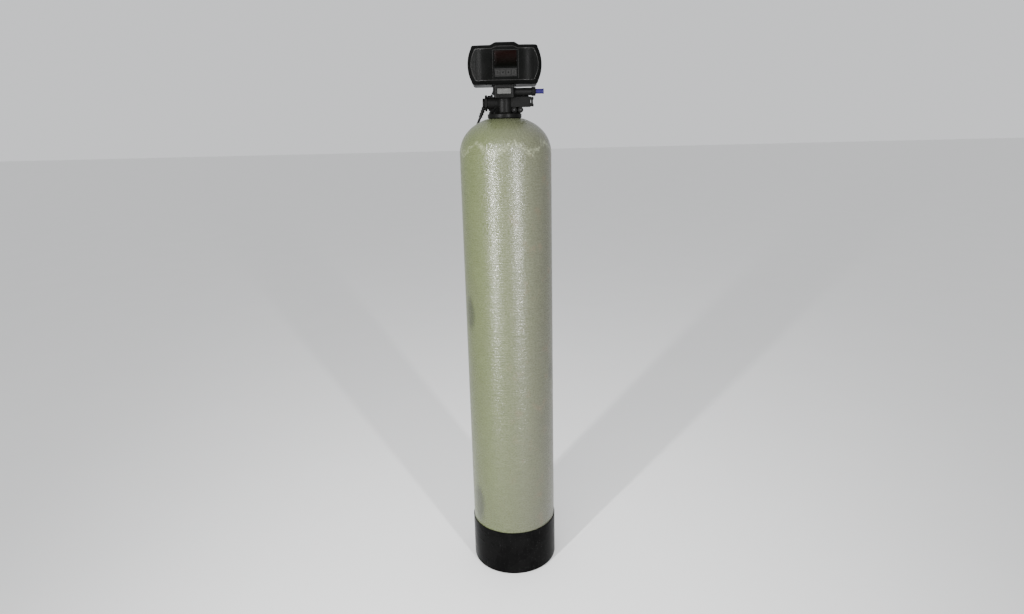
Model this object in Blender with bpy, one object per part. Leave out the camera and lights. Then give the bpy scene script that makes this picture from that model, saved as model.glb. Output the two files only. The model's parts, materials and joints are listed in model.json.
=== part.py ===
"""Backwashing whole house carbon filter: wound tank, boot, piston valve, bypass and control head.

Metres, +Z up. The origin is the middle of the boot's foot on the floor, and the front faces -Y.
The valve and everything on it is placed from the tank's top, the head from the valve's top.
"""
import math

import bmesh
import bpy
from mathutils import Vector

# Clearances
TOUCH = 0.0003          # between two pieces that touch
RUNNING = 0.0003        # round a piece that turns or slides

# Tank
TANK_SIDES = 32
CORE_SIDES = 24
ROUND_SIDES = 16
TANK_RADIUS = 0.1285
TANK_WALL = 0.0045
TANK_TOP = 1.3720
DOME_HEIGHT = 0.1020
DOME_FULLNESS = 2.17
DOME_ROUNDNESS = 2.06
NECK_RADIUS = 0.0500
NECK_BORE = 0.0330
NECK_EDGE = 0.0006
BOTTOM_DOME = 0.0600
TANK_FOOT = 0.0160

# Boot
BOOT_WALL = 0.0020
BOOT_HEIGHT = 0.1460
BOOT_EDGE = 0.0080
BOOT_FLOOR = 0.0040
BOOT_RECESS = 0.0050
FOOT_RING = 0.0960
SEAT_RING = 0.0720
SEAT_RING_WIDTH = 0.0060

# Filling and internals
GRAVEL_TOP = 0.1700
CARBON_TOP = 1.0300
RISER_RADIUS = 0.01335
RISER_BORE = 0.0105
BASKET_RADIUS = 0.0220
BASKET_HEIGHT = 0.0900
BASKET_SOCKET = 0.0150
BASKET_SLOTS = 10
SLOT_WIDTH = 0.0030
SLOT_MARGIN = 0.0120
TOP_BASKET_RADIUS = 0.0260
TOP_BASKET_HEIGHT = 0.0450

# Valve body, heights above the tank's top
COLLAR_RADIUS = 0.0470
COLLAR_HEIGHT = 0.0120
COLLAR_TAPER = 0.0040
SPIGOT_DEPTH = 0.0260
BODY_RADIUS = 0.0250
BODY_SHOULDER = 0.0060
BODY_TOP = 0.0585
HEAD_BLOCK_WIDTH = 0.0560
HEAD_BLOCK_FRONT = 0.0450
HEAD_BLOCK_BACK = 0.0280
HEAD_BLOCK_HEIGHT = 0.0220
RIB_WIDTH = 0.0026
RIB_PROUD = 0.0018
SPIGOT_WALL = 0.0045
PILOT_WALL = 0.0045
O_RING = 0.0030

# Piston stack in the valve's bore
STACK_RADIUS = 0.0175
STACK_FOOT = 0.0150
PISTON_RADIUS = 0.0125
PISTON_LAND = 0.0062
PISTON_WAIST = 0.0080
PISTON_END_PLAY = 0.0010
SEAL_COUNT = 5
SEAL_HEIGHT = 0.0034
SPACER_HEIGHT = 0.0075
SPACER_WALL = 0.0030
SEAL_GROOVE = 0.0008
END_PLUG_RADIUS = 0.0215
END_PLUG_FLANGE = 0.0045
ROD_RADIUS = 0.0042
ROD_SOCKET = 0.0020

# Ports at the back of the valve
PORT_SPACING = 0.0370
PORT_HEIGHT = 0.0355
PORT_RADIUS = 0.0125
PORT_BORE = 0.0090
PORT_END = 0.0440
PORT_FLANGE = 0.0145
FLANGE_WIDTH = 0.0040
COUPLING_GAP = 0.0050

# Material colours: base colour, roughness, metallic
FINISHES = {
    "wound_glass": ((0.36, 0.38, 0.25), 0.45, 0.0),
    "boot_plastic": ((0.012, 0.012, 0.012), 0.35, 0.0),
    "valve_plastic": ((0.015, 0.015, 0.014), 0.42, 0.0),
    "cover_plastic": ((0.010, 0.010, 0.009), 0.35, 0.0),
    "window_plastic": ((0.006, 0.006, 0.007), 0.08, 0.0),
    "grey_plastic": ((0.16, 0.16, 0.15), 0.40, 0.0),
    "white_plastic": ((0.62, 0.62, 0.58), 0.45, 0.0),
    "blue_plastic": ((0.035, 0.030, 0.22), 0.35, 0.0),
    "label_metal": ((0.42, 0.42, 0.41), 0.38, 0.6),
    "steel": ((0.55, 0.55, 0.54), 0.30, 1.0),
    "black_rubber": ((0.012, 0.012, 0.012), 0.70, 0.0),
    "cable_jacket": ((0.010, 0.010, 0.010), 0.50, 0.0),
    "board": ((0.02, 0.10, 0.045), 0.50, 0.0),
    "carbon": ((0.012, 0.012, 0.012), 0.90, 0.0),
    "gravel": ((0.36, 0.33, 0.28), 0.90, 0.0),
}

# Turns of a piece's own Z axis, and of flat outlines
ROUND = 2 * math.pi
ALONG_X = (0, math.pi / 2, 0)
ALONG_Y = (-math.pi / 2, 0, 0)
LEFTWARD = (0, -math.pi / 2, 0)
FACING = (math.pi / 2, 0, 0)        # an outline of (x, z) points, extruded towards the front
SIDEWAYS = (math.pi / 2, 0, math.pi / 2)        # an outline of (y, z) points, extruded towards +X
UPRIGHT = (0, 0, 0)

# Worked out from the tank's sizes
BOTTOM_BASE = TANK_FOOT + BOTTOM_DOME
INNER_RADIUS = TANK_RADIUS - TANK_WALL
DOME_STEPS = 5

# Heights in the valve, above the tank's top
VALVE_FOOT = TOUCH
GROOVE_LOW = -0.0080
RISER_STOP = 0.0080
HEAD_BLOCK_TOP = BODY_TOP + HEAD_BLOCK_HEIGHT
STACK_HEIGHT = SEAL_COUNT * SEAL_HEIGHT + (SEAL_COUNT - 1) * SPACER_HEIGHT

# Left side of the valve: drain housing and the web that joins it to the body
DRAIN_HEIGHT = 0.0420
DRAIN_RADIUS = 0.0165
DRAIN_FACE = 0.0470
DRAIN_BORE = 0.0110
DRAIN_HEX = 0.0370
DRAIN_HEX_WIDTH = 0.0060
DRAIN_STUB = 0.0130
DRAIN_TIP = 0.0600
DRAIN_SOCKET = 0.0070
WEB_THICKNESS = 0.0050
WEB_INSET = 0.0030

# Right side: injector block with its cap, and the injector tube above it
INJECTOR_TOP = 0.0570
INJECTOR_LOW = 0.0300
INJECTOR_FACE = 0.0752
INJECTOR_DEPTH = 0.0340
CAP_THICKNESS = 0.0030
SLIT_WIDTH = 0.0024
SLIT_LOW = 0.0400
SLIT_TOP = 0.0490
CAP_SCREWS = (0.0348, 0.0525)
TUBE_FORWARD = 0.0260
TUBE_HEIGHT = BODY_TOP + HEAD_BLOCK_HEIGHT / 2
TUBE_RADIUS = 0.0100
TUBE_FLANGE = 0.0115
TUBE_END = 0.0740
TUBE_BORE = 0.0070
NUT_RADIUS = 0.0118
NUT_WIDTH = 0.0110
PLUG_RADIUS = 0.0064
PLUG_TIP = 0.1074
PLUG_LIP = 0.0070
BOSS_RADIUS = 0.0075
BOSS_FRONT = 0.0240
BOSS_LENGTH = 0.0340
BOSSES = ((0.0440, 0.0225), (0.0265, 0.0225))

# Screws
SCREW_RADIUS = 0.0020
SCREW_HEAD = 0.0040
SCREW_HEAD_HEIGHT = 0.0024
SCREW_DEPTH = 0.0110
SCREW_HOLE = SCREW_RADIUS + TOUCH
HEAD_SCREWS = tuple((sx * 0.0225, y) for y in (-0.0370, 0.0210) for sx in (-1, 1))

# Piston drive: rack on the piston rod, drive gear, motor pinion
MODULE = 0.0015
PRESSURE = math.radians(25)
BACKLASH = 0.00030
ADDENDUM = 0.90
DEDENDUM = 1.25
DRIVE_TEETH = 36
RACK_PINION_TEETH = 16
MOTOR_TEETH = 12
RACK_OFFSET = 0.0032
DRIVE_TURN = math.radians(135)
FOOT_TOP = HEAD_BLOCK_TOP + 0.0120
GEAR_CLEARANCE = 0.00515
MOTOR_ANGLE = math.radians(150)
GEAR_FRONT = 0.0140
GEAR_WIDTH = 0.0060
RACK_GEAR_WIDTH = 0.0120
RACK_WIDTH = 0.0080
HUB_RADIUS = 0.0085
HUB_BACK = 0.0100
AXLE_RADIUS = 0.0030
AXLE_HEAD = 0.0050

# Worked out from the teeth
PITCH = math.pi * MODULE
DRIVE_RADIUS = MODULE * DRIVE_TEETH / 2
DRIVE_HEIGHT = FOOT_TOP + GEAR_CLEARANCE + DRIVE_RADIUS + ADDENDUM * MODULE
RACK_PINION_RADIUS = MODULE * RACK_PINION_TEETH / 2
MOTOR_RADIUS = MODULE * MOTOR_TEETH / 2
STROKE = RACK_PINION_RADIUS * DRIVE_TURN
DRIVE_X = RACK_OFFSET + RACK_PINION_RADIUS
MOTOR_X = DRIVE_X + (DRIVE_RADIUS + MOTOR_RADIUS) * math.cos(MOTOR_ANGLE)
MOTOR_Z = DRIVE_HEIGHT + (DRIVE_RADIUS + MOTOR_RADIUS) * math.sin(MOTOR_ANGLE)

# Bracket, motor and axle behind the gears
SHAFT_RADIUS = 0.0025
BRACKET_FRONT = 0.0110
BRACKET_WALL = 0.0025
BRACKET_BACK = BRACKET_FRONT + BRACKET_WALL
BRACKET_SIDES = (-0.0400, 0.0500)
BRACKET_TOP = DRIVE_HEIGHT + 0.0460
BRACKET_CORNER = 0.0040
ROD_PASSAGE = 0.0075
FOOT_WIDTH = 0.0540
FOOT_FRONT = 0.0430
FOOT_BACK = 0.0260
POST_RADIUS = 0.0035
POST_INSET = 0.0060
MOTOR_BODY = 0.0165
MOTOR_LENGTH = 0.0240

# Control head: cover, back plate and display, heights above the tank's top
COVER_LOW = HEAD_BLOCK_TOP + 0.0069
COVER_HEIGHT = 0.0975
COVER_WIDTH = 0.1960
COVER_SHIFT = 0.0030
COVER_FRONT = 0.0800
COVER_BACK = 0.0520
COVER_WALL = 0.0025
COVER_BEVEL = 0.0085
BEVEL_DEPTH = 0.0095
SIDE_RADIUS = 0.0920
CORNER_RADIUS = 0.0070
HUMP_HEIGHT = 0.0068
HUMP_FOOT = (-0.0400, 0.0400)
HUMP_CREST = (-0.0215, 0.0245)
BOW_START = 0.0450
BOW_DEPTH = 0.0120
PLATE_LIP = 0.0012
PLATE_WIDTH = 0.0035
PLATE_INNER = 0.0490
PLATE_POCKET = 0.0530
COVER_MIDDLE = COVER_LOW + COVER_HEIGHT / 2

# Display panel in the cover's front, with its window and button strip
PANEL_SIDES = (-0.0290, 0.0400)
PANEL_LOW = COVER_LOW + 0.0121
PANEL_TOP = PANEL_LOW + 0.0730
PANEL_FACE = 0.0792
PANEL_BACK = 0.0752
PANEL_LIP = 0.0020
WINDOW_SIDES = (-0.0240, 0.0350)
WINDOW_LOW = PANEL_LOW + 0.0305
WINDOW_TOP = PANEL_TOP - 0.0025
WINDOW_LEDGE = 0.0020
INSERT_FACE = 0.0794
INSERT_BACK = 0.0776
BEZEL_LOW = PANEL_LOW + 0.0060
BEZEL_TOP = BEZEL_LOW + 0.0210
BEZEL_PROUD = 0.0006
BEZEL_LEDGE = 0.0010
CUT_BACK = PANEL_BACK - 0.0100
CUT_FRONT = COVER_FRONT + 0.0100
BUTTON_COUNT = 4
BUTTON_CORNER = 0.0020
BUTTON_PITCH = 0.0144
BUTTON_WIDTH = 0.0120
BUTTON_HEIGHT = 0.0150
BUTTON_FACE = 0.0812
BUTTON_LIP = 0.0006
BUTTON_TRAVEL = 0.0010
STEM_RADIUS = 0.0020
BOARD_FRONT = 0.0662
BOARD_THICKNESS = 0.0016
SWITCH_TOP = 0.0678
BOARD_POST = 0.0026
POST_EDGE = 0.0025

# Slot in the cover's underside, and the back plate's shelf that closes it
SLOT_FRONT = 0.0450
SLOT_WIDTH_BELOW = FOOT_WIDTH + 0.0120
SHELF_FRONT = 0.0285
SHELF_THICKNESS = 0.0026
SHELF_LOW = COVER_LOW + 0.0004

# Bare metal plate on the valve's block
LABEL_WIDTH = 0.0370
LABEL_LOW = BODY_TOP + 0.0059
LABEL_TOP = LABEL_LOW + 0.0134
LABEL_THICKNESS = 0.0012

# Bypass at the back, distances behind the valve's axis
BYPASS_FACE = PORT_END + COUPLING_GAP
BYPASS_END = 0.1040
ROTOR_BACK = 0.0780
HOUSING_RADIUS = 0.0165
HOUSING_HALF = 0.0165
ROTOR_RADIUS = 0.0130
ROTOR_HALF = 0.0132
ROTOR_FLOW = 0.0080
WELL_SPIN = math.radians(7)
STEM_HEIGHT = 0.0265
HANDLE_STEM = 0.0050
HANDLE_HUB = 0.0085
HANDLE_HEIGHT = 0.0100
HANDLE_REACH = 0.0260
HANDLE_WIDTH = 0.0090
CROSS_RADIUS = 0.0105
NIPPLE_DEPTH = 0.0100
NIPPLE_WALL = 0.0021
CLIP_WALL = 0.0018
CLIP_EASE = 0.0006
CLIP_SWEEP = math.radians(200)
THREAD_RADIUS = 0.0138
THREAD_LENGTH = 0.0085
UNION_FLATS = 0.0315
UNION_LENGTH = 0.0170
TAIL_FLANGE = 0.0136
TAIL_FLANGE_WIDTH = 0.0035
TAIL_RADIUS = 0.0112
TAIL_BORE = 0.0090
TAIL_END = 0.1290

# Power lead: its route points are chosen by hand, from the gland to the coil
CORD_RADIUS = 0.0035
GLAND_PLACE = (-0.0255, 0.0385)
GLAND_NECK = 0.0042
GLAND_FLANGE = 0.0066
GLAND_LIP = 0.0016
RELIEF_LENGTH = 0.0220
RELIEF_ROOT = 0.0058
RELIEF_TIP = 0.0044
SLEEVE_FROM = 1
SLEEVE_RINGS = 15
SLEEVE_PITCH = 0.0042
SLEEVE_ROOT = 0.0064
SLEEVE_TIP = 0.0050
SLEEVE_RIB = 0.0007
CORD_TURN = math.radians(12)
CORD_SHORT = 0.0070
CORD_LONG = 0.0280
SMOOTH_STEPS = 32
CORD_ROUTE = (
    (-0.0255, 0.0385, 1.4578), (-0.0268, 0.0385, 1.4480), (-0.0325, 0.0385, 1.4375),
    (-0.0430, 0.0395, 1.4285), (-0.0520, 0.0410, 1.4175), (-0.0600, 0.0450, 1.3990),
    (-0.0690, 0.0510, 1.3790), (-0.0780, 0.0610, 1.3600), (-0.0875, 0.0730, 1.3390),
    (-0.0950, 0.0825, 1.3160), (-0.0990, 0.0875, 1.2920), (-0.1008, 0.0905, 1.2600),
    (-0.1016, 0.0920, 1.2000), (-0.1018, 0.0925, 1.0000), (-0.1018, 0.0925, 0.8000),
    (-0.1018, 0.0925, 0.6000), (-0.1018, 0.0925, 0.4000), (-0.1018, 0.0926, 0.2000),
    (-0.1017, 0.0930, 0.0900), (-0.1015, 0.0937, 0.0398), (-0.0997, 0.0982, 0.0218),
    (-0.0948, 0.1104, 0.0087), (-0.0882, 0.1272, 0.0038), (-0.0800, 0.1450, 0.0038),
    (-0.0757, 0.1592, 0.0038),
)
COIL_CENTRE = (-0.0350, 0.1900)
COIL_INNER = 0.0330
COIL_OUTER = 0.0475
COIL_LOW = 0.0015
COIL_TOP = 0.0160
COIL_SIDES = 24
TIE_WIDTH = 0.0050
TIE_WALL = 0.0012
TIE_ANGLE = -3.5 / COIL_SIDES * ROUND
ADAPTER_START = 0.0205
ADAPTER_LENGTH = 0.0700
ADAPTER_WIDTH = 0.0480
ADAPTER_HEIGHT = 0.0400
ADAPTER_NUB = 0.0048
NUB_HEIGHT = 0.0095
PRONG_SPACING = 0.0127
PRONG_SIZE = (0.0015, 0.0063, 0.0170)


def clear_scene():
    """Remove what the scene holds."""
    for item in list(bpy.data.objects):
        bpy.data.objects.remove(item, do_unlink=True)


def finish(name):
    """The material of that name, made when first asked for."""
    found = bpy.data.materials.get(name)
    if found:
        return found
    colour, rough, metallic = FINISHES[name]
    made = bpy.data.materials.new(name)
    made.use_nodes = True
    shader = made.node_tree.nodes["Principled BSDF"]
    shader.inputs["Base Color"].default_value = (*colour, 1.0)
    shader.inputs["Roughness"].default_value = rough
    shader.inputs["Metallic"].default_value = metallic
    return made


def frame_empty(name, place, parent=None):
    """An empty that carries a sub-assembly or marks a joint's axis."""
    empty = bpy.data.objects.new(name, None)
    empty.location = place
    empty.parent = parent
    bpy.context.collection.objects.link(empty)
    return empty


def as_object(name, bm, look, parent, place, turn):
    """Close a bmesh into an object with its finish."""
    bmesh.ops.remove_doubles(bm, verts=bm.verts, dist=1e-6)
    bmesh.ops.recalc_face_normals(bm, faces=bm.faces)
    mesh = bpy.data.meshes.new(name)
    bm.to_mesh(mesh)
    bm.free()
    mesh.shade_smooth()
    mesh.set_sharp_from_angle(angle=math.radians(35))
    mesh.materials.append(finish(look))
    item = bpy.data.objects.new(name, mesh)
    item.location = place
    item.rotation_euler = turn
    item.parent = parent
    bpy.context.collection.objects.link(item)
    return item


def lathe(name, profile, look, parent, place=(0, 0, 0), turn=UPRIGHT, sides=ROUND_SIDES):
    """Turn a profile of (radius, height) points about the piece's own Z axis."""
    bm = bmesh.new()
    corners = [bm.verts.new((r, 0, z)) for r, z in profile]
    edges = [bm.edges.new(pair) for pair in zip(corners, corners[1:])]
    solid = profile[0][0] < 1e-9 and profile[-1][0] < 1e-9
    if not solid:
        edges.append(bm.edges.new((corners[-1], corners[0])))
    bmesh.ops.spin(bm, geom=edges, cent=(0, 0, 0), axis=(0, 0, 1), angle=ROUND,
                   steps=sides, use_merge=True)
    return as_object(name, bm, look, parent, place, turn)


def part_turn(bm, profile, start, sweep, steps, centre=(0, 0)):
    """Add a profile of (radius, height) points, turned part of the way round Z, to a bmesh."""
    rings = []
    for step in range(steps + 1):
        angle = start + sweep * step / steps
        rings.append([bm.verts.new((centre[0] + r * math.cos(angle), centre[1] + r * math.sin(angle), z))
                      for r, z in profile])
    for first, second in zip(rings, rings[1:]):
        for i in range(len(profile)):
            k = (i + 1) % len(profile)
            bm.faces.new((first[i], first[k], second[k], second[i]))
    bm.faces.new(rings[0])
    bm.faces.new(rings[-1])


def prism(name, outline, low, high, look, parent, place=(0, 0, 0), turn=UPRIGHT):
    """Extrude a flat outline of (x, y) points along the piece's own Z axis."""
    bm = bmesh.new()
    base = bm.faces.new([bm.verts.new((x, y, low)) for x, y in outline])
    grown = bmesh.ops.extrude_face_region(bm, geom=[base])
    raised = [v for v in grown["geom"] if isinstance(v, bmesh.types.BMVert)]
    bmesh.ops.translate(bm, verts=raised, vec=(0, 0, high - low))
    return as_object(name, bm, look, parent, place, turn)


def rounded(width, depth, radius, centre=(0, 0), steps=3):
    """A rectangle with round corners, as (x, y) points."""
    points = []
    for turn, sx, sy in ((0, 1, 1), (1, -1, 1), (2, -1, -1), (3, 1, -1)):
        cx = centre[0] + sx * (width / 2 - radius)
        cy = centre[1] + sy * (depth / 2 - radius)
        for step in range(steps + 1):
            angle = (turn + step / steps) * math.pi / 2
            points.append((cx + radius * math.cos(angle), cy + radius * math.sin(angle)))
    return points


def polygon(sides, across_flats, spin=0.0):
    """A regular polygon given across its flats."""
    corner = across_flats / 2 / math.cos(math.pi / sides)
    return [(corner * math.cos(spin + ROUND * i / sides), corner * math.sin(spin + ROUND * i / sides))
            for i in range(sides)]


def boolean(target, tool, operation):
    """Add a tool to a target, or cut it away, and keep the tool out of the build."""
    tool.hide_render = True
    tool.display_type = "WIRE"
    change = target.modifiers.new(operation.lower(), "BOOLEAN")
    change.operation = operation
    change.object = tool
    change.solver = "EXACT"


def cut(target, *tools):
    for tool in tools:
        boolean(target, tool, "DIFFERENCE")


def weld(target, *tools):
    for tool in tools:
        boolean(target, tool, "UNION")


def dome_height(radius, full_radius):
    """How high the top dome has risen over its base where it has narrowed to a radius."""
    share = (radius / full_radius) ** DOME_ROUNDNESS
    return DOME_HEIGHT * (1 - share) ** (1 / DOME_FULLNESS)


def top_dome(full_radius, neck, base, steps):
    """Points of the top dome's profile, from the cylinder to the neck."""
    rise = dome_height(neck, full_radius)
    points = []
    for step in range(steps + 1):
        climb = rise * math.sin(step / steps * math.pi / 2)
        share = (climb / DOME_HEIGHT) ** DOME_FULLNESS
        points.append((full_radius * (1 - share) ** (1 / DOME_ROUNDNESS), base + climb))
    return points


def bottom_dome(full_radius, depth, base, steps):
    """Points of the bottom dome's profile, from its lowest point to the cylinder."""
    points = [(0.0, base - depth)]
    for step in range(1, steps + 1):
        angle = step / steps * math.pi / 2
        points.append((full_radius * math.sin(angle), base - depth * math.cos(angle)))
    return points


def profile_height(points, radius):
    """Height of a profile, whose radii grow, at a radius."""
    for (r0, z0), (r1, z1) in zip(points, points[1:]):
        if r0 <= radius <= r1:
            return z0 + (z1 - z0) * (radius - r0) / (r1 - r0)
    return points[-1][1]


# The tank's shell rises from these two heights
DOME_BASE = TANK_TOP - dome_height(NECK_RADIUS, TANK_RADIUS)


def build_tank(tank):
    """Wound shell: bottom dome, straight wall and top dome, open at the neck."""
    outer = bottom_dome(TANK_RADIUS, BOTTOM_DOME, BOTTOM_BASE, DOME_STEPS)
    outer += top_dome(TANK_RADIUS, NECK_RADIUS, DOME_BASE, DOME_STEPS + 1)
    inner = bottom_dome(INNER_RADIUS, BOTTOM_DOME - TANK_WALL, BOTTOM_BASE, DOME_STEPS)
    inner_base = TANK_TOP - NECK_EDGE - dome_height(NECK_BORE, INNER_RADIUS)
    inner += top_dome(INNER_RADIUS, NECK_BORE, inner_base, DOME_STEPS)
    mouth = [(NECK_BORE, TANK_TOP)]
    lathe("tank_shell", outer + mouth + inner[::-1], "wound_glass", tank, sides=TANK_SIDES)


def build_boot(tank):
    """Moulded cup with a foot ring, a seat ring under the tank and a hollow underside."""
    bore = TANK_RADIUS + TOUCH
    wall = bore + BOOT_WALL
    seat_in = SEAT_RING - SEAT_RING_WIDTH / 2
    seat_out = SEAT_RING + SEAT_RING_WIDTH / 2
    floor_top = BOOT_RECESS + BOOT_FLOOR
    tank_foot = bottom_dome(TANK_RADIUS, BOTTOM_DOME, BOTTOM_BASE, DOME_STEPS)
    seat_low = profile_height(tank_foot, seat_in) - TOUCH
    seat_high = profile_height(tank_foot, seat_out) - TOUCH
    edge = BOOT_EDGE
    profile = [(0.0, floor_top), (seat_in, floor_top), (seat_in, seat_low), (seat_out, seat_high),
               (seat_out, floor_top), (bore - edge, floor_top), (bore, floor_top + edge),
               (bore, BOOT_HEIGHT), (wall, BOOT_HEIGHT)]
    for step in range(4):
        angle = step / 3 * math.pi / 2
        profile.append((wall - edge + edge * math.cos(angle), edge - edge * math.sin(angle)))
    profile += [(FOOT_RING, 0.0), (FOOT_RING - BOOT_RECESS, BOOT_RECESS), (0.0, BOOT_RECESS)]
    lathe("base_boot", profile, "boot_plastic", tank, sides=TANK_SIDES)


def basket_foot():
    """The bottom basket stands on the dome's inner surface."""
    inner = bottom_dome(INNER_RADIUS, BOTTOM_DOME - TANK_WALL, BOTTOM_BASE, DOME_STEPS)
    return profile_height(inner, BASKET_RADIUS) + TOUCH


def build_filling(tank):
    """Gravel in the bottom dome and the carbon bed on it, both round the riser tube."""
    wall = INNER_RADIUS - TOUCH
    depth = BOTTOM_DOME - TANK_WALL - TOUCH
    core = BASKET_RADIUS + TOUCH
    riser = RISER_RADIUS + TOUCH
    floor = bottom_dome(wall, depth, BOTTOM_BASE, DOME_STEPS)
    dome = [p for p in floor if p[0] > core]
    basket_top = basket_foot() + BASKET_HEIGHT + TOUCH
    gravel = [(core, profile_height(floor, core)), *dome, (wall, GRAVEL_TOP), (riser, GRAVEL_TOP),
              (riser, basket_top), (core, basket_top)]
    lathe("gravel_bed", gravel, "gravel", tank, sides=TANK_SIDES)
    bed = GRAVEL_TOP + TOUCH
    carbon = [(riser, bed), (wall, bed), (wall, CARBON_TOP), (riser, CARBON_TOP)]
    lathe("carbon_bed", carbon, "carbon", tank, sides=TANK_SIDES)


def slotted_basket(name, tank, radius, foot, height, bore, socket):
    """Closed cup with a ring of upright slots; its collar holds the riser tube."""
    inner = radius - 0.0025
    profile = [(0.0, foot), (radius, foot), (radius, foot + height), (bore, foot + height),
               (bore, foot + height - socket), (inner, foot + height - socket - 0.003),
               (inner, foot + 0.003), (0.0, foot + 0.003)]
    basket = lathe(name, profile, "white_plastic", tank, sides=ROUND_SIDES)
    for index in range(BASKET_SLOTS // 2):
        angle = math.pi * index / (BASKET_SLOTS // 2)
        slot = prism(f"{name}_slot_{index}", rounded(3 * radius, SLOT_WIDTH, SLOT_WIDTH / 3, steps=1),
                     foot + SLOT_MARGIN, foot + height - socket - SLOT_MARGIN, "white_plastic", tank,
                     turn=(0, 0, angle))
        cut(basket, slot)
    return basket


def build_riser(tank, riser_top):
    """Riser tube from the bottom basket up into the valve."""
    foot = basket_foot()
    seat = foot + BASKET_HEIGHT - BASKET_SOCKET
    slotted_basket("bottom_basket", tank, BASKET_RADIUS, foot, BASKET_HEIGHT,
                   RISER_RADIUS + TOUCH, BASKET_SOCKET)
    tube = [(RISER_BORE, seat + TOUCH), (RISER_RADIUS, seat + TOUCH), (RISER_RADIUS, riser_top),
            (RISER_BORE, riser_top)]
    lathe("riser_tube", tube, "white_plastic", tank, sides=ROUND_SIDES)


def build_top_basket(valve):
    """Upper basket, a slotted cone that clips on the valve's spigot round the riser."""
    top = -SPIGOT_DEPTH - TOUCH
    low = top - TOP_BASKET_HEIGHT
    bore = RISER_RADIUS + TOUCH
    wall = 0.0022
    profile = [(bore, low), (TOP_BASKET_RADIUS * 0.75, low), (TOP_BASKET_RADIUS, top),
               (TOP_BASKET_RADIUS - wall, top), (TOP_BASKET_RADIUS * 0.75 - wall, low + wall),
               (bore, low + wall)]
    basket = lathe("top_basket", profile, "white_plastic", valve, sides=ROUND_SIDES)
    for index in range(BASKET_SLOTS // 2):
        angle = math.pi * index / (BASKET_SLOTS // 2)
        slot = prism(f"top_basket_slot_{index}", rounded(4 * TOP_BASKET_RADIUS, SLOT_WIDTH, 0.001, steps=1),
                     low + SLOT_MARGIN, top - SLOT_MARGIN, "white_plastic", valve, turn=(0, 0, angle))
        cut(basket, slot)


def valve_core(valve):
    """Collar on the tank's neck, spigot inside it and the upright body with its round shoulder."""
    spigot = NECK_BORE - TOUCH
    shoulder = BODY_RADIUS - BODY_SHOULDER
    groove = spigot - O_RING - TOUCH
    profile = [(0.0, -SPIGOT_DEPTH), (spigot, -SPIGOT_DEPTH), (spigot, GROOVE_LOW - TOUCH),
               (groove, GROOVE_LOW - TOUCH), (groove, GROOVE_LOW + O_RING + TOUCH),
               (spigot, GROOVE_LOW + O_RING + TOUCH), (spigot, VALVE_FOOT),
               (COLLAR_RADIUS - COLLAR_TAPER, VALVE_FOOT), (COLLAR_RADIUS, VALVE_FOOT + COLLAR_TAPER),
               (COLLAR_RADIUS, COLLAR_HEIGHT), (COLLAR_RADIUS - 0.003, COLLAR_HEIGHT + 0.0015),
               (BODY_RADIUS, COLLAR_HEIGHT + 0.0030)]
    for step in range(4):
        angle = step / 3 * math.pi / 2
        profile.append((shoulder + BODY_SHOULDER * math.cos(angle),
                        BODY_TOP - BODY_SHOULDER + BODY_SHOULDER * math.sin(angle)))
    profile.append((0.0, BODY_TOP))
    return lathe("valve_body", profile, "valve_plastic", valve, sides=CORE_SIDES)


def head_block(valve):
    """Block under the head, which carries it and the label plate."""
    depth = HEAD_BLOCK_FRONT + HEAD_BLOCK_BACK
    centre = (0, (HEAD_BLOCK_BACK - HEAD_BLOCK_FRONT) / 2)
    return prism("head_block", rounded(HEAD_BLOCK_WIDTH, depth, 0.006, centre), BODY_TOP - 0.0040,
                 HEAD_BLOCK_TOP, "valve_plastic", valve)


def front_rib(valve):
    """Thin upright rib on the front of the body."""
    front = -BODY_RADIUS - RIB_PROUD
    outline = [(-RIB_WIDTH / 2, front), (RIB_WIDTH / 2, front), (RIB_WIDTH / 2, -BODY_RADIUS / 2),
               (-RIB_WIDTH / 2, -BODY_RADIUS / 2)]
    return prism("front_rib", outline, COLLAR_HEIGHT - 0.001, BODY_TOP - 2 * BODY_SHOULDER,
                 "valve_plastic", valve)


def drain_housing(valve):
    """Round housing that points left, with a flat web that joins it to the body and collar."""
    barrel = lathe("drain_housing", [(0, 0), (DRAIN_RADIUS, 0), (DRAIN_RADIUS, DRAIN_FACE), (0, DRAIN_FACE)],
                   "valve_plastic", valve, (0, 0, DRAIN_HEIGHT), LEFTWARD, sides=ROUND_SIDES)
    low = COLLAR_HEIGHT - TOUCH
    tip = -DRAIN_FACE + WEB_INSET
    outline = [(-BODY_RADIUS / 2, low), (tip, low + 2 * WEB_THICKNESS), (tip, BODY_TOP - WEB_INSET),
               (-BODY_RADIUS / 2, BODY_TOP + WEB_INSET)]
    web = prism("drain_web", outline, -WEB_THICKNESS / 2, WEB_THICKNESS / 2, "valve_plastic", valve,
                turn=FACING)
    return barrel, web


def injector_block(valve):
    """Block on the right, from the body to its cap, with round edges."""
    depth = INJECTOR_TOP - INJECTOR_LOW
    middle = (INJECTOR_TOP + INJECTOR_LOW) / 2
    outline = rounded(INJECTOR_FACE, depth, 0.005, (INJECTOR_FACE / 2, middle))
    return prism("injector_block", outline, -INJECTOR_DEPTH / 2, INJECTOR_DEPTH / 2, "valve_plastic",
                 valve, turn=FACING)


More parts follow.
